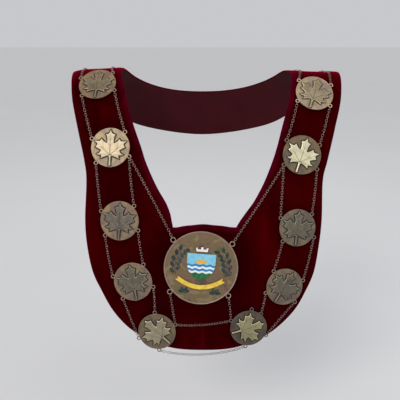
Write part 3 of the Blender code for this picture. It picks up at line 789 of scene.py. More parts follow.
def badge_finish():
    """Brown bronze of the badge, clouded olive and plum, its rim worn and painted bright as a highlight."""
    recipe = Recipe("badge bronze")
    rubbed_highlight_mark = recipe.mark("relief", 2)
    clouds = recipe.grain(46.0, 3.0, distortion=1.4)
    streaks = recipe.grain(120.0, 2.0, (0.25, 1.0, 1.4))
    specks = recipe.grain(900.0, 2.0)
    settings = {"stops": (
        (0.38, (0.150, 0.098, 0.084)),
        (0.46, (0.250, 0.156, 0.100)),
        (0.54, (0.195, 0.152, 0.078)),
        (0.62, (0.300, 0.210, 0.128)),
    )}
    tone = recipe.make("ShaderNodeValToRGB", settings, {"Fac": clouds * 0.7 + streaks * 0.3})
    tone = recipe.blend(rubbed_highlight_mark * 0.6, tone, (0.42, 0.31, 0.27))
    recipe.relief(specks * 0.5 + streaks * 0.5, 0.00012, 0.3)
    return recipe.finish(Base_Color=tone, Roughness=0.40 + 0.18 * specks, Metallic=1.0 - 0.1 * specks)


def chain_finish():
    """Rosy brown bronze of the chain, bright at the links' tips as worn metal and as a painted highlight."""
    recipe = Recipe("chain bronze")
    rubs = recipe.grain(480.0, 2.0)
    # The mark holds worn metal, painted highlight and painted shade
    wear_and_light_mark = recipe.mark("wear", 0)
    colour = recipe.blend(wear_and_light_mark * 0.85 + rubs * 0.25, (0.070, 0.040, 0.034), (1.0, 0.76, 0.68))
    return recipe.finish(Base_Color=colour, Roughness=0.22 + 0.18 * rubs, Metallic=1.0 - 0.08 * rubs)


def enamel_finish(name):
    """Fired enamel with a glassy coat, a little deeper in places."""
    colour, deep = ENAMELS[name]
    recipe = Recipe(f"{name} enamel", Coat_Weight=0.35, Coat_Roughness=0.12, Specular_IOR_Level=0.35)
    clouds = recipe.grain(260.0, 2.0)
    orange_peel = recipe.grain(700.0, 1.0)
    mixed = recipe.blend(recipe.ease(clouds, 0.3, 0.7), deep, colour)
    recipe.relief(orange_peel, 0.00005, 0.3)
    return recipe.finish(Base_Color=mixed, Roughness=0.22 + 0.12 * clouds)


# Modelling


def only(piece):
    """Select one piece and nothing else."""
    bpy.ops.object.select_all(action="DESELECT")
    piece.select_set(True)
    bpy.context.view_layer.objects.active = piece


def pick(piece, mode, test):
    """In edit mode, select the faces or edges that pass a test."""
    bpy.ops.mesh.select_mode(type=mode)
    bpy.ops.mesh.select_all(action="DESELECT")
    shape = bmesh.from_edit_mesh(piece.data)
    for item in {"FACE": shape.faces, "EDGE": shape.edges}[mode]:
        if test(item):
            item.select_set(True)
    bmesh.update_edit_mesh(piece.data)


def named(piece, name):
    """Name a piece and its mesh."""
    piece.name = name
    piece.data.name = name
    return piece


def added(name, data):
    """A new object in the scene for a mesh, a curve, a camera or a light."""
    holder = bpy.data.objects.new(name, data)
    bpy.context.collection.objects.link(holder)
    return holder


def settled(piece):
    """Put a piece's place into its mesh, so that its object sits at the origin."""
    only(piece)
    bpy.ops.object.transform_apply(location=True, rotation=True, scale=True)
    return piece


def welded(piece):
    """Merge the points of a piece that lie in one place, so that its seams are closed."""
    only(piece)
    bpy.ops.object.mode_set(mode="EDIT")
    bpy.ops.mesh.select_all(action="SELECT")
    bpy.ops.mesh.remove_doubles(threshold=WELD)
    bpy.ops.object.mode_set(mode="OBJECT")
    return piece


def changed(piece, kind, **settings):
    """Add a modifier, set it and apply it."""
    only(piece)
    bpy.ops.object.modifier_add(type=kind)
    modifier = piece.modifiers[-1]
    for name, value in settings.items():
        setattr(modifier, name, value)
    bpy.ops.object.modifier_apply(modifier=modifier.name)
    return piece


def softly_shaded(piece):
    """Shade a piece smooth, its broad faces kept flat."""
    only(piece)
    bpy.ops.object.shade_smooth_by_angle(angle=math.radians(SMOOTH_ANGLE))
    return changed(piece, "WEIGHTED_NORMAL", weight=100, keep_sharp=True)


def combined(piece, tool, operation, crossing=False):
    """Cut or fuse a piece with a tool, which is used up. A tool may cross itself if so told."""
    changed(piece, "BOOLEAN", operation=operation, solver="EXACT", object=tool, use_self=crossing)
    bpy.data.objects.remove(tool)
    return piece


def worn(piece, slot, *materials):
    """Give a piece its materials, and let it ride on the part. The slot is not used."""
    for material in materials:
        piece.data.materials.append(material)
    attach(piece, "root")
    return piece


def modelled(shape, name):
    """A piece from a shape that was built face by face."""
    mesh = bpy.data.meshes.new(name)
    shape.to_mesh(mesh)
    shape.free()
    return added(name, mesh)


def marked(piece, name, colours):
    """Store a colour at each vertex under a name, for the finish to read."""
    marks = piece.data.attributes.new(name, "FLOAT_COLOR", "POINT")
    for mark, colour in zip(marks.data, colours):
        mark.color = (*colour, 1.0)


def mirrored(half):
    """Closed outline from its right half, which starts on the middle line."""
    left = [(-across, up) for across, up in reversed(half) if across > 0.0]
    return list(half) + left


def scaled(outline, radius):
    """An outline in metres from shares of a radius."""
    return [(across * radius, up * radius) for across, up in outline]


def drawn(name, points, closed, radii=(), **settings):
    """A mesh from a curve through points, as thick as its settings and radii say."""
    curve = bpy.data.curves.new(name, "CURVE")
    for key, value in settings.items():
        setattr(curve, key, value)
    spline = curve.splines.new("POLY")
    spline.points.add(len(points) - 1)
    for target, point in zip(spline.points, points):
        target.co = (*point, 1.0)
    for target, radius in zip(spline.points, radii):
        target.radius = radius
    spline.use_cyclic_u = closed
    piece = added(name, curve)
    only(piece)
    bpy.ops.object.convert(target="MESH")
    return piece


def plate(name, outline, low, high, edge):
    """A plate over a closed outline, from a filled flat curve, its upper rim rounded."""
    points = [(*point, 0.0) for point in outline]
    piece = drawn(name, points, True, dimensions="2D", fill_mode="BOTH", extrude=(high - low) / 2)
    piece.location.z = (low + high) / 2
    settled(piece)
    bpy.ops.object.mode_set(mode="EDIT")
    bpy.ops.mesh.select_all(action="SELECT")
    bpy.ops.mesh.remove_doubles(threshold=WELD)
    bpy.ops.mesh.normals_make_consistent(inside=False)
    bpy.ops.mesh.dissolve_limited(angle_limit=math.radians(FLAT_ANGLE), delimit={"NORMAL"})
    pick(piece, "EDGE", lambda line: all(vert.co.z > high - WELD for vert in line.verts)
         and abs(line.link_faces[0].normal.z - line.link_faces[1].normal.z) > 0.5)
    bpy.ops.mesh.bevel(offset=edge, segments=2, affect="EDGES")
    bpy.ops.object.mode_set(mode="OBJECT")
    return piece


def groove_cutter(outline, width, depth, field):
    """A round wire along an outline, that cuts a groove of a width and a depth into a field."""
    radius = (width * width + depth * depth) / (2 * depth)
    points = [(*point, field - depth + radius) for point in outline]
    return drawn("groove", points, True, dimensions="3D", bevel_depth=radius,
                 bevel_resolution=GROOVE_STEPS)


def round_blank(name, radius, thickness, sides, rim_width, rim_height, edge):
    """A round blank with softened edges, its face marked off from a rim or let in behind it."""
    bpy.ops.mesh.primitive_cylinder_add(
        vertices=sides, radius=radius, depth=thickness, location=(0.0, 0.0, thickness / 2)
    )
    blank = named(bpy.context.object, name)
    bpy.ops.object.mode_set(mode="EDIT")
    pick(blank, "FACE", lambda face: face.normal.z > 0.9)
    bpy.ops.mesh.inset(thickness=rim_width)
    if rim_height > 0.0:
        bpy.ops.mesh.inset(thickness=rim_height)
        bpy.ops.transform.translate(value=(0.0, 0.0, -rim_height))
    pick(blank, "EDGE", lambda line: all(vert.co.to_2d().length > radius * 0.999 for vert in line.verts)
         and abs(line.verts[0].co.z - line.verts[1].co.z) < WELD)
    bpy.ops.mesh.bevel(offset=edge, segments=3, affect="EDGES")
    bpy.ops.object.mode_set(mode="OBJECT")
    return settled(blank)


def eyelet(centre, diameter, wire):
    """One soldered wire eyelet, lying flat."""
    bpy.ops.mesh.primitive_torus_add(
        major_segments=36,
        minor_segments=12,
        major_radius=(diameter - wire) / 2,
        minor_radius=wire / 2,
        location=centre,
    )
    return settled(bpy.context.object)


def polar(distance, angle, height):
    """A point at a distance and an angle from the middle, and at a height."""
    return Vector((distance * math.cos(angle), distance * math.sin(angle), height))


def corner_eyelets(spread, distance, height):
    """Centres of a disc's four eyelets, upper right, upper left, lower left and lower right."""
    angles = {"ur": spread, "ul": 180.0 - spread, "ll": spread - 180.0, "lr": -spread}
    return {key: polar(distance, math.radians(angle), height) for key, angle in angles.items()}


def hung_disc(matrix, across, run, places, diameter, wire):
    """What a chain needs of a disc: where it is, its eyelets and how far in from their centres to hold."""
    centres = {key: matrix @ place for key, place in places.items()}
    return {"across": across * COLLAR_HALF_WIDTH, "run": run * COLLAR_FRONT, "eyelets": centres,
            "hold": diameter / 2 - wire - LINK_WIRE / 2}


def placed_copy(piece, name, matrix):
    """A copy with its own mesh, its place in its mesh."""
    copy = added(name, piece.data.copy())
    copy.data.name = name
    copy.data.transform(matrix)
    return copy


# Velvet collar


def soft_spots(rows, across, run):
    """Sum of soft leaning ovals at a place, from rows such as those of HOLLOWS."""
    total = 0.0
    for centre, along, half_width, half_length, lean, strength in rows:
        angle = math.radians(lean)
        side = (across - centre) * math.cos(angle) - (run - along) * math.sin(angle)
        down = (across - centre) * math.sin(angle) + (run - along) * math.cos(angle)
        total += strength * math.exp(-((side / half_width) ** 2 + (down / half_length) ** 2))
    return total


def painted_disc_shade(across, run):
    """Painted shade on the pile beside the discs that lie on it, as their contact shadow."""
    discs = [(row[1], row[2], row[3] * MEDAL_DIAMETER, MEDAL_SHADE_REACH, MEDAL_SHADE) for row in MEDALS]
    discs.append((BADGE_ACROSS, BADGE_RUN, BADGE_DIAMETER, BADGE_SHADE_REACH, BADGE_SHADE))
    shade = 0.0
    for centre, along, diameter, reach, deepest in discs:
        distance = math.hypot(across - centre * COLLAR_HALF_WIDTH, run - along * COLLAR_FRONT)
        beyond = max(0.0, distance - diameter / 2)
        shade = max(shade, deepest * math.exp(-(beyond / reach) ** 2))
    return shade


def painted_streak_strength(across, run):
    """Painted light on the pile at a place: a painted highlight above zero, painted shade below it."""
    strength = soft_spots(PAINTED_STREAKS, across, run) - painted_disc_shade(across, run)
    return min(1.0, max(-1.0, strength))


def cloth_point(section, share, side, depth):
    """Point of the cloth at a share across its band and a depth under its face."""
    across, run = band_place(section, share, side)
    outward = form_directions(across, run)[2]
    return form_point(across, run) - outward * (soft_spots(HOLLOWS, across, run) + depth)


def cloth_round(section, side):
    """Points round one cross section: the face, the outer edge, the lining and the neck edge.

    Each point comes with its painted sheen along the edges and the strength of its painted
    streak: a painted highlight above zero, painted shade below.
    """
    radius = CLOTH_WALL / 2
    width = (Vector(band_place(section, 1.0, side)) - Vector(band_place(section, 0.0, side))).length
    near = [(radius + reach) / width for reach in EDGE_REACHES]
    middle = [near[-1] + (1.0 - 2 * near[-1]) * step / CLOTH_COLUMNS for step in range(1, CLOTH_COLUMNS)]
    shares = near + middle + [1.0 - share for share in reversed(near)]
    rows = []
    for share in shares:
        from_edge = min(share, 1.0 - share) * width - radius
        closeness = 1.0 - smooth_step(from_edge / EDGE_BAND)
        painted_sheen = OUTER_PAINTED_SHEEN if share > 0.5 else 1.0
        place = band_place(section, share, side)
        point = cloth_point(section, share, side, EDGE_ROLL * closeness ** 3)
        rows.append((point, painted_sheen * closeness, painted_streak_strength(*place)))
    turned = []
    for share, painted_sheen in ((shares[-1], OUTER_PAINTED_SHEEN), (shares[0], 1.0)):
        top = cloth_point(section, share, side, EDGE_ROLL)
        core = cloth_point(section, share, side, (CLOTH_WALL + EDGE_ROLL) / 2)
        across_band = core - cloth_point(section, 0.5, side, radius)
        outward = top - core
        sideways = (across_band - outward * across_band.dot(outward) / outward.length_squared).normalized()
        turns = [math.pi * step / EDGE_STEPS for step in range(1, EDGE_STEPS)]
        bent = [core + sideways * radius * math.sin(turn) + outward * math.cos(turn) for turn in turns]
        turned.append([(point, painted_sheen, 0.0) for point in bent])
    lining = [(cloth_point(section, share, side, CLOTH_WALL), 0.0, 0.0) for share in reversed(shares)]
    return rows + turned[0] + lining + turned[1][::-1]


def velvet_collar():
    """The collar: a ring of velvet with turned edges over a satin lining."""
    last = (len(COLLAR_SECTIONS) - 1) * CLOTH_STATIONS
    stations = [(step / CLOTH_STATIONS, 1.0) for step in range(last + 1)]
    stations += [(step / CLOTH_STATIONS, -1.0) for step in range(last - 1, 0, -1)]
    rounds = [cloth_round(*station) for station in stations]
    shape = bmesh.new()
    rings = [[shape.verts.new(point) for point, _, _ in one_round] for one_round in rounds]
    face_columns = CLOTH_COLUMNS + 2 * len(EDGE_REACHES) - 2
    lining_first = face_columns + EDGE_STEPS
    lining_last = lining_first + face_columns
    for index, ring in enumerate(rings):
        next_ring = rings[(index + 1) % len(rings)]
        for place in range(len(ring)):
            after = (place + 1) % len(ring)
            face = shape.faces.new((ring[place], ring[after], next_ring[after], next_ring[place]))
            face.smooth = True
            face.material_index = 1 if lining_first <= place < lining_last else 0
    bmesh.ops.recalc_face_normals(shape, faces=list(shape.faces))
    cloth = modelled(shape, "velvet_cloth")
    # Painted light for the finish: the sheen at the edges, the highlights and the shade
    marked(cloth, "nap", [(edge, max(0.0, streak), max(0.0, -streak))
                          for one_round in rounds for _, edge, streak in one_round])
    worn(cloth, "velvet", velvet_finish(), lining_finish())
    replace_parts(cloth, "velvet_collar")


# Medals


def vein_cutters(radius, top, lean):
    """Slim wedges that score the leaf's veins, widest at its base."""
    cutters = []
    level = top + VEIN_LIFT
    for from_across, from_up, to_across, to_up, width in LEAF_VEINS:
        sides = (1.0, -1.0) if to_across else (1.0,)
        for side in sides:
            start = lean @ Vector((side * from_across, from_up)) * radius
            end = lean @ Vector((side * to_across, to_up)) * radius
            along = end - start
            middle = (start + end) / 2
            bpy.ops.mesh.primitive_cone_add(
                vertices=4,
                radius1=width * radius,
                radius2=width * radius * VEIN_TAPER,
                depth=along.length,
                location=(middle.x, middle.y, level),
                rotation=(0.0, math.pi / 2, math.atan2(along.y, along.x)),
            )
            cutter = settled(bpy.context.object)
            for vert in cutter.data.vertices:
                vert.co.z = level + (vert.co.z - level) * VEIN_DEPTH / (LEAF_VEINS[0][4] * radius)
            cutters.append(cutter)
    return cutters


def outline_distance(spot, outline):
    """Distance of a flat spot from a closed outline."""
    nearest = math.inf
    for start, end in zip(outline, outline[1:] + outline[:1]):
        start, end = Vector(start), Vector(end)
        share = min(1.0, max(0.0, (spot - start).dot(end - start) / (end - start).length_squared))
        nearest = min(nearest, (spot - start.lerp(end, share)).length)
    return nearest


def medal_mark(place, outline, radius, leaf_top):
    """At a vertex: whether the leaf stands there, how dark a recess is, and what is painted bright.

    The bright parts are worn metal and a painted highlight.
    """
    height = place.z
    spot = place.to_2d()
    inside = spot.length < radius - MEDAL_EDGE
    beside = outline_distance(spot, outline)
    leaf = inside and height > MEDAL_THICKNESS + WELD
    below = leaf_top - height
    rubbed_highlight = not inside
    dark = 0.0
    if leaf and beside < LEAF_EDGE * EDGE_SHARE:
        rubbed_highlight = below < LEAF_EDGE * RUBBED_HIGHLIGHT_SHARE
    elif leaf and below > WELD:
        dark = min(1.0, (below / VEIN_DEPTH) ** 0.5)
    elif inside and height < MEDAL_THICKNESS - WELD and beside < MOAT_WIDTH:
        dark = min(1.0, MOAT_DARKENING * (MEDAL_THICKNESS - height) / MOAT_DEPTH)
    return float(leaf), dark, float(rubbed_highlight)


def struck_medal():
    """A leaf medal as it lies before it is hung: coin, moat, leaf, veins and four eyelets."""
    radius = MEDAL_DIAMETER / 2
    lean = Matrix.Rotation(-math.radians(LEAF_LEAN), 2)
    outline = [tuple(lean @ Vector(point) * radius) for point in mirrored(LEAF_HALF)]
    leaf_top = MEDAL_THICKNESS + LEAF_RELIEF
    coin = round_blank("medal_blank", radius, MEDAL_THICKNESS, COIN_SIDES, RUBBED_HIGHLIGHT_WIDTH, 0.0, MEDAL_EDGE)
    moat = groove_cutter(outline, MOAT_WIDTH, MOAT_DEPTH, MEDAL_THICKNESS)
    combined(coin, moat, "DIFFERENCE", crossing=True)
    leaf = plate("leaf", outline, MEDAL_THICKNESS - MOAT_DEPTH - 4 * WELD, leaf_top, LEAF_EDGE)
    for cutter in vein_cutters(radius, leaf_top, lean):
        combined(leaf, cutter, "DIFFERENCE")
    combined(coin, leaf, "UNION")
    for centre in corner_eyelets(EYELET_SPREAD, radius + EYELET_REACH, MEDAL_THICKNESS / 2).values():
        combined(coin, eyelet(centre, EYELET_DIAMETER, EYELET_WIRE), "UNION")
    welded(coin)
    marked(coin, "relief", [medal_mark(vert.co, outline, radius, leaf_top) for vert in coin.data.vertices])
    return coin


def hang_medals():
    """The ten medals, each in its own bronze tones with painted light. Gives what their chains need of them.
    """
    model = struck_medal()
    discs = {}
    height = MEDAL_THICKNESS / 2
    for name, across, run, size, turn, field, leaf, polish_and_highlight in MEDALS:
        radius = size * MEDAL_DIAMETER / 2
        matrix = seat_matrix(across * COLLAR_HALF_WIDTH, run * COLLAR_FRONT, turn, radius)
        spread = Matrix.Diagonal((size, size, 1.0, 1.0))
        medal = placed_copy(model, name.replace("medal", "leaf_medal"), matrix @ spread)
        places = corner_eyelets(EYELET_SPREAD, radius + EYELET_REACH, height)
        if name == BACK_EYELET_MEDAL:
            places["back"] = polar(radius + BACK_EYELET_REACH, math.radians(BACK_EYELET_ANGLE), height)
            ring = eyelet((0.0, 0.0, 0.0), EYELET_DIAMETER, EYELET_WIRE)
            ring.data.transform(matrix @ Matrix.Translation(places["back"]))
            welded(combined(medal, ring, "UNION"))
        softly_shaded(medal)
        worn(medal, "medal_bronze", coin_finish(name.replace("medal", "bronze"), field, leaf, polish_and_highlight))
        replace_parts(medal, name)
        discs[name] = hung_disc(matrix, across, run, places, EYELET_DIAMETER, EYELET_WIRE)
    bpy.data.objects.remove(model)
    return discs


# Badge


def laurel_leaf():
    """One pointed laurel leaf, domed either side of its midrib, lying along X at the origin."""
    radius = BADGE_DIAMETER / 2
    half_length = SPRIG_LEAF_LENGTH * radius / 2
    half_width = SPRIG_LEAF_WIDTH * radius / 2 * SPRIG_FULLNESS
    bpy.ops.mesh.primitive_uv_sphere_add(segments=20, ring_count=11, radius=1.0)
    leaf = named(bpy.context.object, "laurel_leaf")
    for vert in leaf.data.vertices:
        along, over, height = vert.co
        taper = (1.0 - along * along) ** LEAF_POINT
        rib = 1.0 - MIDRIB_DEPTH * math.exp(-((over / MIDRIB_WIDTH) ** 2))
        vert.co = (along * half_length, over * half_width * taper, height * SPRIG_RELIEF * rib)
    return leaf


def laurel_stem(side, matrix):
    """The curved stem of one sprig, which thins towards its tip."""
    first = math.radians(SPRIG_FIRST_ANGLE - SPRIG_STEP_ANGLE * STEM_SWEEP)
    last = math.radians(SPRIG_FIRST_ANGLE + SPRIG_STEP_ANGLE * SPRIG_LEAVES)
    shares = [step / STEM_STEPS for step in range(STEM_STEPS + 1)]
    points = []
    for share in shares:
        angle = first + (last - first) * share
        point = polar(SPRIG_RADIUS * BADGE_DIAMETER / 2, angle, BADGE_FIELD + SPRIG_RELIEF * STEM_RISE)
        points.append((side * point.x, point.y, point.z))
    stem = drawn("stem", points, False, [1.0 - STEM_THINNING * share for share in shares], dimensions="3D",
                 bevel_depth=SPRIG_RELIEF * STEM_THICKNESS, bevel_resolution=2, use_fill_caps=True)
    stem.data.transform(matrix)
    return welded(stem)


def laurel(matrix):
    """The two sprigs of laurel, in green enamel on curved stems."""
    radius = BADGE_DIAMETER / 2
    model = laurel_leaf()
    bpy.ops.mesh.primitive_uv_sphere_add(segments=12, ring_count=6, radius=BERRY_RADIUS)
    berry = bpy.context.object
    spread = Matrix.Translation((SPRIG_LEAF_LENGTH * radius * TUFT_SPREAD, 0.0, 0.0))

    def spot(share, angle):
        """Place on the badge's field at a share of its radius and an angle."""
        return matrix @ Matrix.Translation(polar(share * radius, angle, BADGE_FIELD))

    pieces = []
    for side in (1.0, -1.0):
        for index in range(SPRIG_LEAVES):
            angle = math.radians(SPRIG_FIRST_ANGLE + index * SPRIG_STEP_ANGLE)
            inner = -1.0 if index % 2 else 1.0
            heading = angle + math.pi / 2 - inner * math.radians(SPRIG_LEAF_TILT)
            if side < 0:
                angle, heading = math.pi - angle, math.pi - heading
            place = spot(SPRIG_RADIUS + inner * SPRIG_STAGGER, angle)
            pieces.append(placed_copy(model, "leaf", place @ Matrix.Rotation(heading, 4, "Z")))
            pieces.append(placed_copy(berry, "berry", spot(SPRIG_RADIUS - inner * BERRY_STAGGER, angle)))
        angle = math.radians(TUFT_ANGLE)
        place = spot(TUFT_RADIUS, angle if side > 0 else math.pi - angle)
        for heading in TUFT_HEADINGS:
            turned = Matrix.Rotation(math.radians(heading), 4, "Z")
            pieces.append(placed_copy(model, "leaf", place @ turned @ spread))
        pieces.append(laurel_stem(side, matrix))
    bpy.data.objects.remove(model)
    bpy.data.objects.remove(berry)
    return joined(pieces, "badge_laurel")


def joined(pieces, name):
    """Several pieces as one, shaded smooth."""
    bpy.ops.object.select_all(action="DESELECT")
    for piece in pieces:
        piece.select_set(True)
    bpy.context.view_layer.objects.active = pieces[0]
    bpy.ops.object.join()
    piece = named(bpy.context.object, name)
    bpy.ops.object.shade_smooth_by_angle(angle=math.radians(LEAF_SMOOTH_ANGLE))
    return piece


def cloisonne(name, outline, low, thickness, line, materials):
    """A metal plate whose face is let in behind a line of metal and filled with enamel."""
    piece = plate(name, outline, low, low + thickness, ENAMEL_EDGE)
    for material in materials:
        piece.data.materials.append(material)
    top = low + thickness
    bpy.ops.object.mode_set(mode="EDIT")
    bpy.ops.mesh.select_all(action="SELECT")
    bpy.ops.mesh.dissolve_limited(angle_limit=math.radians(FLAT_ANGLE))
    pick(piece, "FACE", lambda face: face.normal.z > 0.99 and face.calc_center_median().z > top - WELD)
    bpy.ops.mesh.inset(thickness=line, use_even_offset=True)
    bpy.ops.mesh.inset(thickness=line * CLOISON_SLOPE, depth=-CLOISON_DEPTH, use_even_offset=True)
    piece.active_material_index = 1
    bpy.ops.object.material_slot_assign()
    bpy.ops.object.mode_set(mode="OBJECT")
    return piece


def shield_edge(across):
    """Lowest place of the shield at a distance from its middle, as shares of the badge's radius."""
    foot = SHIELD_HALF[:0:-1]
    for (near, near_up), (far, far_up) in zip(foot, foot[1:]):
        if near <= abs(across) <= far:
            share = (abs(across) - near) / (far - near) if far > near else 0.0
            return near_up + (far_up - near_up) * share
    return foot[-1][1]


def wave(across, level):
    """Height of a wavy line of the shield at a place across."""
    return level + WAVE_HEIGHT * math.sin(2 * math.pi * across / WAVE_LENGTH)


def shield_band(upper, lower, inset):
    """Outline of the shield between two wavy levels, drawn in from its edges."""
    half = SHIELD_HALF[1][0] - inset
    above = []
    below = []
    for step in range(BAND_STEPS + 1):
        across = -half + 2 * half * step / BAND_STEPS
        high = min(wave(across, upper), SHIELD_HALF[0][1] - inset)
        low = max(wave(across, lower), shield_edge(across) + inset * FOOT_INSET)
        if high - low > BAND_LEAST:
            above.append((across, high))
            below.append((across, low))
    return above + below[::-1]


def sun_outline():
    """Half a sun above the sea's level, with its rays."""
    points = []
    half = math.pi / SUN_RAYS / 2
    foot = half * SUN_RAY_WIDTH
    for ray in range(SUN_RAYS):
        middle = math.pi * (ray + 0.5) / SUN_RAYS
        for turn, reach in ((middle - half, 0.0), (middle - foot, SUN_RAY_FOOT),
                            (middle, SUN_RAY_LENGTH), (middle + foot, SUN_RAY_FOOT)):
            distance = SUN_RADIUS + reach
            points.append((distance * math.cos(turn), SUN_LEVEL + distance * math.sin(turn)))
    points.append((-SUN_RADIUS, SUN_LEVEL))
    return points


def ribbon_outline():
    """Outline of the ribbon: a bent band with a swallow tail at each end."""
    line = []
    for step in range(RIBBON_STEPS + 1):
        share = 2.0 * step / RIBBON_STEPS - 1.0
        line.append(Vector((RIBBON_REACH * share, RIBBON_MIDDLE_LEVEL + RIBBON_RISE * share * share)))
    half = RIBBON_WIDTH / 2
    upper = []
    lower = []
    for index, point in enumerate(line):
        ahead = line[min(index + 1, len(line) - 1)]
        behind = line[max(index - 1, 0)]
        normal = (ahead - behind).orthogonal().normalized()
        upper.append(tuple(point + normal * half))
        lower.append(tuple(point - normal * half))
    right_notch = line[-1] - (line[-1] - line[-2]).normalized() * RIBBON_NOTCH
    left_notch = line[0] - (line[0] - line[1]).normalized() * RIBBON_NOTCH
    return upper + [tuple(right_notch)] + lower[::-1] + [tuple(left_notch)]


def shield_design(inset):
    """The shield's raised fields: four waves, a mound below them and half a sun above."""
    rows = []
    band_height = (SEA_LEVEL - SHORE_LEVEL) / SEA_BANDS
    for index in range(SEA_BANDS):
        top = SEA_LEVEL - index * band_height
        outline = shield_band(top, top - band_height + BAND_GAP, inset)
        enamel = "foam" if index % 2 else "sea"
        rows.append((f"enamel_wave_{index + 1}", outline, BAND_RELIEF, BAND_EDGE, enamel))
    mound = shield_band(SHORE_LEVEL + BAND_GAP, -1.0, inset)
    rows.append(("enamel_mound", mound, MOUND_RELIEF, MOUND_EDGE, "mound"))
    rows.append(("enamel_sun", sun_outline(), MOUND_RELIEF, MOUND_EDGE, "sun"))
    return rows


def badge():
    """The centre badge with its enamels. Gives what its chains need of it."""
    radius = BADGE_DIAMETER / 2
    matrix = seat_matrix(BADGE_ACROSS * COLLAR_HALF_WIDTH, BADGE_RUN * COLLAR_FRONT, BADGE_TURN, radius)
    bronze = badge_finish()
    enamels = {name: enamel_finish(name) for name in ENAMELS}
    disc = round_blank("badge_face", radius, BADGE_THICKNESS, BADGE_SIDES, BADGE_RIM_WIDTH,
                       BADGE_RIM_HEIGHT, MEDAL_EDGE)
    places = corner_eyelets(BADGE_EYELET_SPREAD, radius + BADGE_EYELET_REACH, BADGE_THICKNESS / 2)
    for centre in places.values():
        combined(disc, eyelet(centre, BADGE_EYELET_DIAMETER, BADGE_EYELET_WIRE), "UNION")
    face = radius - BADGE_RIM_WIDTH - WELD
    # The rim is marked to be painted bright, as worn metal and as a painted highlight
    marked(disc, "relief", [(0.0, 0.0, float(vert.co.to_2d().length > face)) for vert in disc.data.vertices])
    disc.data.transform(matrix)
    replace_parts(worn(softly_shaded(disc), "badge_bronze", bronze), "badge_disc")
    worn(laurel(matrix), "badge_bronze", enamels["laurel"])

    seat = BADGE_FIELD + GAP
    plates = (
        ("enamel_shield", "badge_shield", "shield_enamel", mirrored(SHIELD_HALF), CLOISON_WIDTH, "sky"),
        ("enamel_crest", "badge_crest", "crest_enamel", mirrored(CREST_HALF), CLOISON_WIDTH * CREST_LINE,
         "white"),
        ("enamel_ribbon", "badge_ribbon", "ribbon_enamel", ribbon_outline(), CLOISON_WIDTH, "yellow"),
    )
    for name, node, slot, outline, line, enamel in plates:
        materials = (bronze, enamels[enamel])
        piece = cloisonne(name, scaled(outline, radius), seat, ENAMEL_THICKNESS, line, materials)
        piece.data.transform(matrix)
        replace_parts(worn(softly_shaded(piece), slot), node)

    fill = seat + ENAMEL_THICKNESS - CLOISON_DEPTH
    for name, outline, relief, edge, enamel in shield_design(CLOISON_WIDTH / radius * DESIGN_INSET):
        piece = plate(name, scaled(outline, radius), fill, fill + relief, edge)
        piece.data.transform(matrix)
        worn(piece, "shield_enamel", enamels[enamel])
    return hung_disc(matrix, BADGE_ACROSS, BADGE_RUN, places, BADGE_EYELET_DIAMETER, BADGE_EYELET_WIRE)


# Chains


def chain_link():
    """One oval link of wire, lying flat along X at the origin."""
    bpy.ops.mesh.primitive_torus_add(
        major_segments=LINK_SIDES,
        minor_segments=LINK_WIRE_SIDES,
        major_radius=(LINK_WIDTH - LINK_WIRE) / 2,
        minor_radius=LINK_WIRE / 2,
        rotation=(0.0, 0.0, math.pi / LINK_SIDES),
    )
    link = settled(bpy.context.object)
    stretch = (LINK_PITCH + 2 * LINK_WIRE - LINK_WIDTH) / 2
    for vert in link.data.vertices:
        vert.co.x += math.copysign(stretch, vert.co.x)
    return link


def on_ridge(outward):
    """How far the velvet faces up, from 0 on the front and back to 1 on the shoulder's top."""
    return smooth_step((outward.z - RIDGE_START) / RIDGE_SPAN)


def laid_line(places, bow):
    """Dense places of a chain laid on the velvet, each a point and the outward direction there."""
    rest = LINK_WIDTH / 2 - PILE_DEPTH
    rows = [places[0]] + places + [places[-1]]
    spans = len(places) - 1
    flat = []
    for sample in range(ROUTE_SAMPLES + 1):
        whole = sample / ROUTE_SAMPLES * spans
        first = min(int(whole), spans - 1)
        swell = math.sin(math.pi * sample / ROUTE_SAMPLES)
        point = []
        for axis in (0, 1):
            before, start, end, after = (rows[first + offset][axis] for offset in range(4))
            on_curve = curve_value(start, (end - before) / 2, end, (after - start) / 2, whole - first)
            point.append(on_curve + bow[axis] * swell)
        flat.append(Vector(point))
    line = []
    for spot in flat:
        height = rest
        for end, place in ((flat[0], places[0]), (flat[-1], places[-1])):
            near = 1.0 - smooth_step((spot - end).length / SETTLE_LENGTH)
            height += (place[2] - rest) * near
        outward = form_directions(*spot)[2]
        height -= RIDGE_PRESS * on_ridge(outward)
        height -= soft_spots(HOLLOWS, *spot)
        line.append((form_point(*spot) + outward * height, outward))
    return line


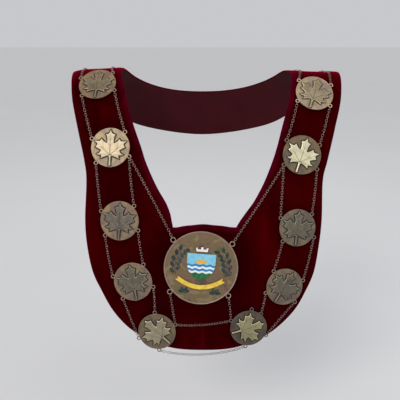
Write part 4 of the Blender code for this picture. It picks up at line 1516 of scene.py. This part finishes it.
def linked_chain(name, line, holds, link, finish, darkening):
    """Links along a line, each through the next, the end ones through their eyelets."""
    lengths = [0.0]
    for (before, _), (after, _) in zip(line, line[1:]):
        lengths.append(lengths[-1] + (after - before).length)

    def at(distance):
        """Point and outward direction at a distance along the line."""
        index = next((i for i, length in enumerate(lengths) if length >= distance), len(lengths) - 1)
        index = max(1, index)
        share = (distance - lengths[index - 1]) / (lengths[index] - lengths[index - 1])
        before, after = line[index - 1], line[index]
        return before[0].lerp(after[0], share), before[1].lerp(after[1], share).normalized()

    reach = LINK_PITCH + LINK_WIRE
    span = lengths[-1] - holds[0] - holds[1]
    count = max(3, round((span - reach) / LINK_PITCH) + 1)
    pitch = (span - reach) / (count - 1)
    twist = 0.0 if count % 2 else math.pi / 2
    shape = bmesh.new()
    shine = []
    for index in range(count):
        start, outward = at(holds[0] + index * pitch)
        # Painted shade: links on the ridge and along the hem are painted darker
        shine.append(1.0 - max(darkening, RIDGE_PAINTED_SHADE * on_ridge(outward)))
        end, _ = at(holds[0] + index * pitch + reach)
        along = (end - start).normalized()
        side = along.cross(outward).normalized()
        flat = side.cross(along)
        wander = LINK_WANDER * math.sin(index * WANDER_STEP) * math.sin(math.pi * index / (count - 1))
        roll = math.pi / 2 * (1 + index % 2) + twist * smooth_step(index / TWISTED_LINKS) + wander
        across = side * math.cos(roll) + flat * math.sin(roll)
        matrix = Matrix((along, across, along.cross(across))).transposed().to_4x4()
        matrix.translation = (start + end) / 2
        fresh = len(shape.verts)
        shape.from_mesh(link.data)
        shape.verts.ensure_lookup_table()
        bmesh.ops.transform(shape, matrix=matrix, verts=shape.verts[fresh:])
    piece = modelled(shape, name)
    piece.data.shade_smooth()
    tip = max(vert.co.x for vert in link.data.vertices)
    span = WEAR_HIGHLIGHT_END - WEAR_HIGHLIGHT_START
    # The tips are painted bright, as worn metal and as a painted highlight, less so under painted shade
    wear = [smooth_step((abs(vert.co.x) / tip - WEAR_HIGHLIGHT_START) / span) for vert in link.data.vertices]
    marked(piece, "wear", [(rubbed_highlight * bright, 0.0, 0.0) for bright in shine for rubbed_highlight in wear])
    return worn(piece, "chain_bronze", finish)


def side_chains():
    """The chains down each side, two from each medal to the next, as rows like those of CHAINS."""
    rows = []
    for side, bows in SIDE_BOWS.items():
        for number, pair in enumerate(bows, start=1):
            upper, lower = f"{side}{number}", f"{side}{number + 1}"
            for edge, start, end, bow in zip(SIDE_EDGES[side], ("ll", "lr"), ("ul", "ur"), pair):
                if f"medal_{lower}" == BACK_EYELET_MEDAL and edge == "inner":
                    end = "back"
                name = f"chain_{upper}_{lower}_{edge}"
                rows.append((name, f"medal_{upper}", start, f"medal_{lower}", end, bow, 0.0))
    return rows


def hang_chains(discs):
    """Every stretch of chain, in place of its plain solid."""
    link = chain_link()
    finish = chain_finish()
    stretches = []
    for name, first, first_eyelet, second, second_eyelet, bow_across, bow_down in (*side_chains(), *CHAINS):
        stretches.append((name, (first, first_eyelet), (second, second_eyelet), [], (bow_across, bow_down)))
    for name, left_eyelet, right_eyelet, share, left_ridge, right_ridge in BACK_CHAINS:
        left = [band_place(RIDGE_SECTION, left_ridge, -1.0)]
        right = [band_place(RIDGE_SECTION, right_ridge, 1.0)]
        for section, keep in zip(BACK_CHAIN_SECTIONS, BACK_CHAIN_KEEPS):
            left.append(band_place(section, share + (left_ridge - share) * keep, -1.0))
            right.insert(0, band_place(section, share + (right_ridge - share) * keep, 1.0))
        middle = [band_place(len(COLLAR_SECTIONS) - 1, share, 1.0)]
        stretches.append((name, ("medal_l1", left_eyelet), ("medal_r1", right_eyelet),
                          left + middle + right, (0.0, 0.0)))
    for name, first, second, through, bow in stretches:
        ends = []
        for disc_name, key in (first, second):
            disc = discs[disc_name]
            ends.append(form_place(disc["eyelets"][key], disc["across"], disc["run"]))
        line = laid_line([ends[0]] + through + [ends[1]], bow)
        holds = [discs[disc_name]["hold"] for disc_name, _ in (first, second)]
        # The hem chain is painted darker, as painted shade
        darkening = HEM_PAINTED_SHADE if name == "chain_hem" else 0.0
        piece = linked_chain(name.replace("chain", "links"), line, holds, link, finish, darkening)
        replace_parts(piece, name)
    bpy.data.objects.remove(link)


# Camera, floor and lights


def set_camera():
    """The camera, level across and pitched down at the collar."""
    camera = bpy.data.cameras.new("camera")
    camera.sensor_width = SENSOR
    camera.lens = FOCAL_PIXELS / IMAGE_SIDE * SENSOR
    camera.clip_start = 0.01
    holder = added("camera", camera)
    holder.location = CAMERA_PLACE
    holder.rotation_euler = (math.radians(90.0 - CAMERA_PITCH), 0.0, 0.0)
    bpy.context.scene.camera = holder


def lamp(name, kind, place, spread, strength, colour):
    """A soft light that shines from a place at the middle, from far off or from a square panel."""
    light = bpy.data.lights.new(name, kind)
    if kind == "SUN":
        light.angle = math.radians(spread)
    else:
        light.size = spread
    light.energy = strength
    light.color = colour
    holder = added(name, light)
    holder.location = place
    holder.rotation_euler = (Vector(MIDDLE) - Vector(place)).to_track_quat("-Z", "Y").to_euler()


def set_stage():
    """A plain pale floor, a pale surround and soft lights."""
    bpy.ops.object.select_all(action="DESELECT")
    bpy.ops.mesh.primitive_plane_add(size=FLOOR_SIZE, location=(0.0, 0.0, solid_low.z - FLOOR_DROP))
    floor = named(bpy.context.object, "floor")
    recipe = Recipe("pale floor", Roughness=0.9, Specular_IOR_Level=0.1)
    tone = recipe.blend(recipe.grain(3.0), (0.60, 0.60, 0.61), (0.63, 0.63, 0.64))
    floor.data.materials.append(recipe.finish(Base_Color=tone))
    world = bpy.data.worlds.new("surround")
    world.use_nodes = True
    back = world.node_tree.nodes["Background"]
    back.inputs["Color"].default_value = (*SURROUND_COLOUR, 1.0)
    back.inputs["Strength"].default_value = SURROUND_STRENGTH
    bpy.context.scene.world = world
    for row in LIGHTS:
        lamp(*row)
    bpy.context.scene.view_settings.view_transform = "Standard"


def main():
    """Dress the whole part."""
    set_camera()
    set_stage()
    velvet_collar()
    discs = hang_medals()
    discs["badge_disc"] = badge()
    hang_chains(discs)


main()
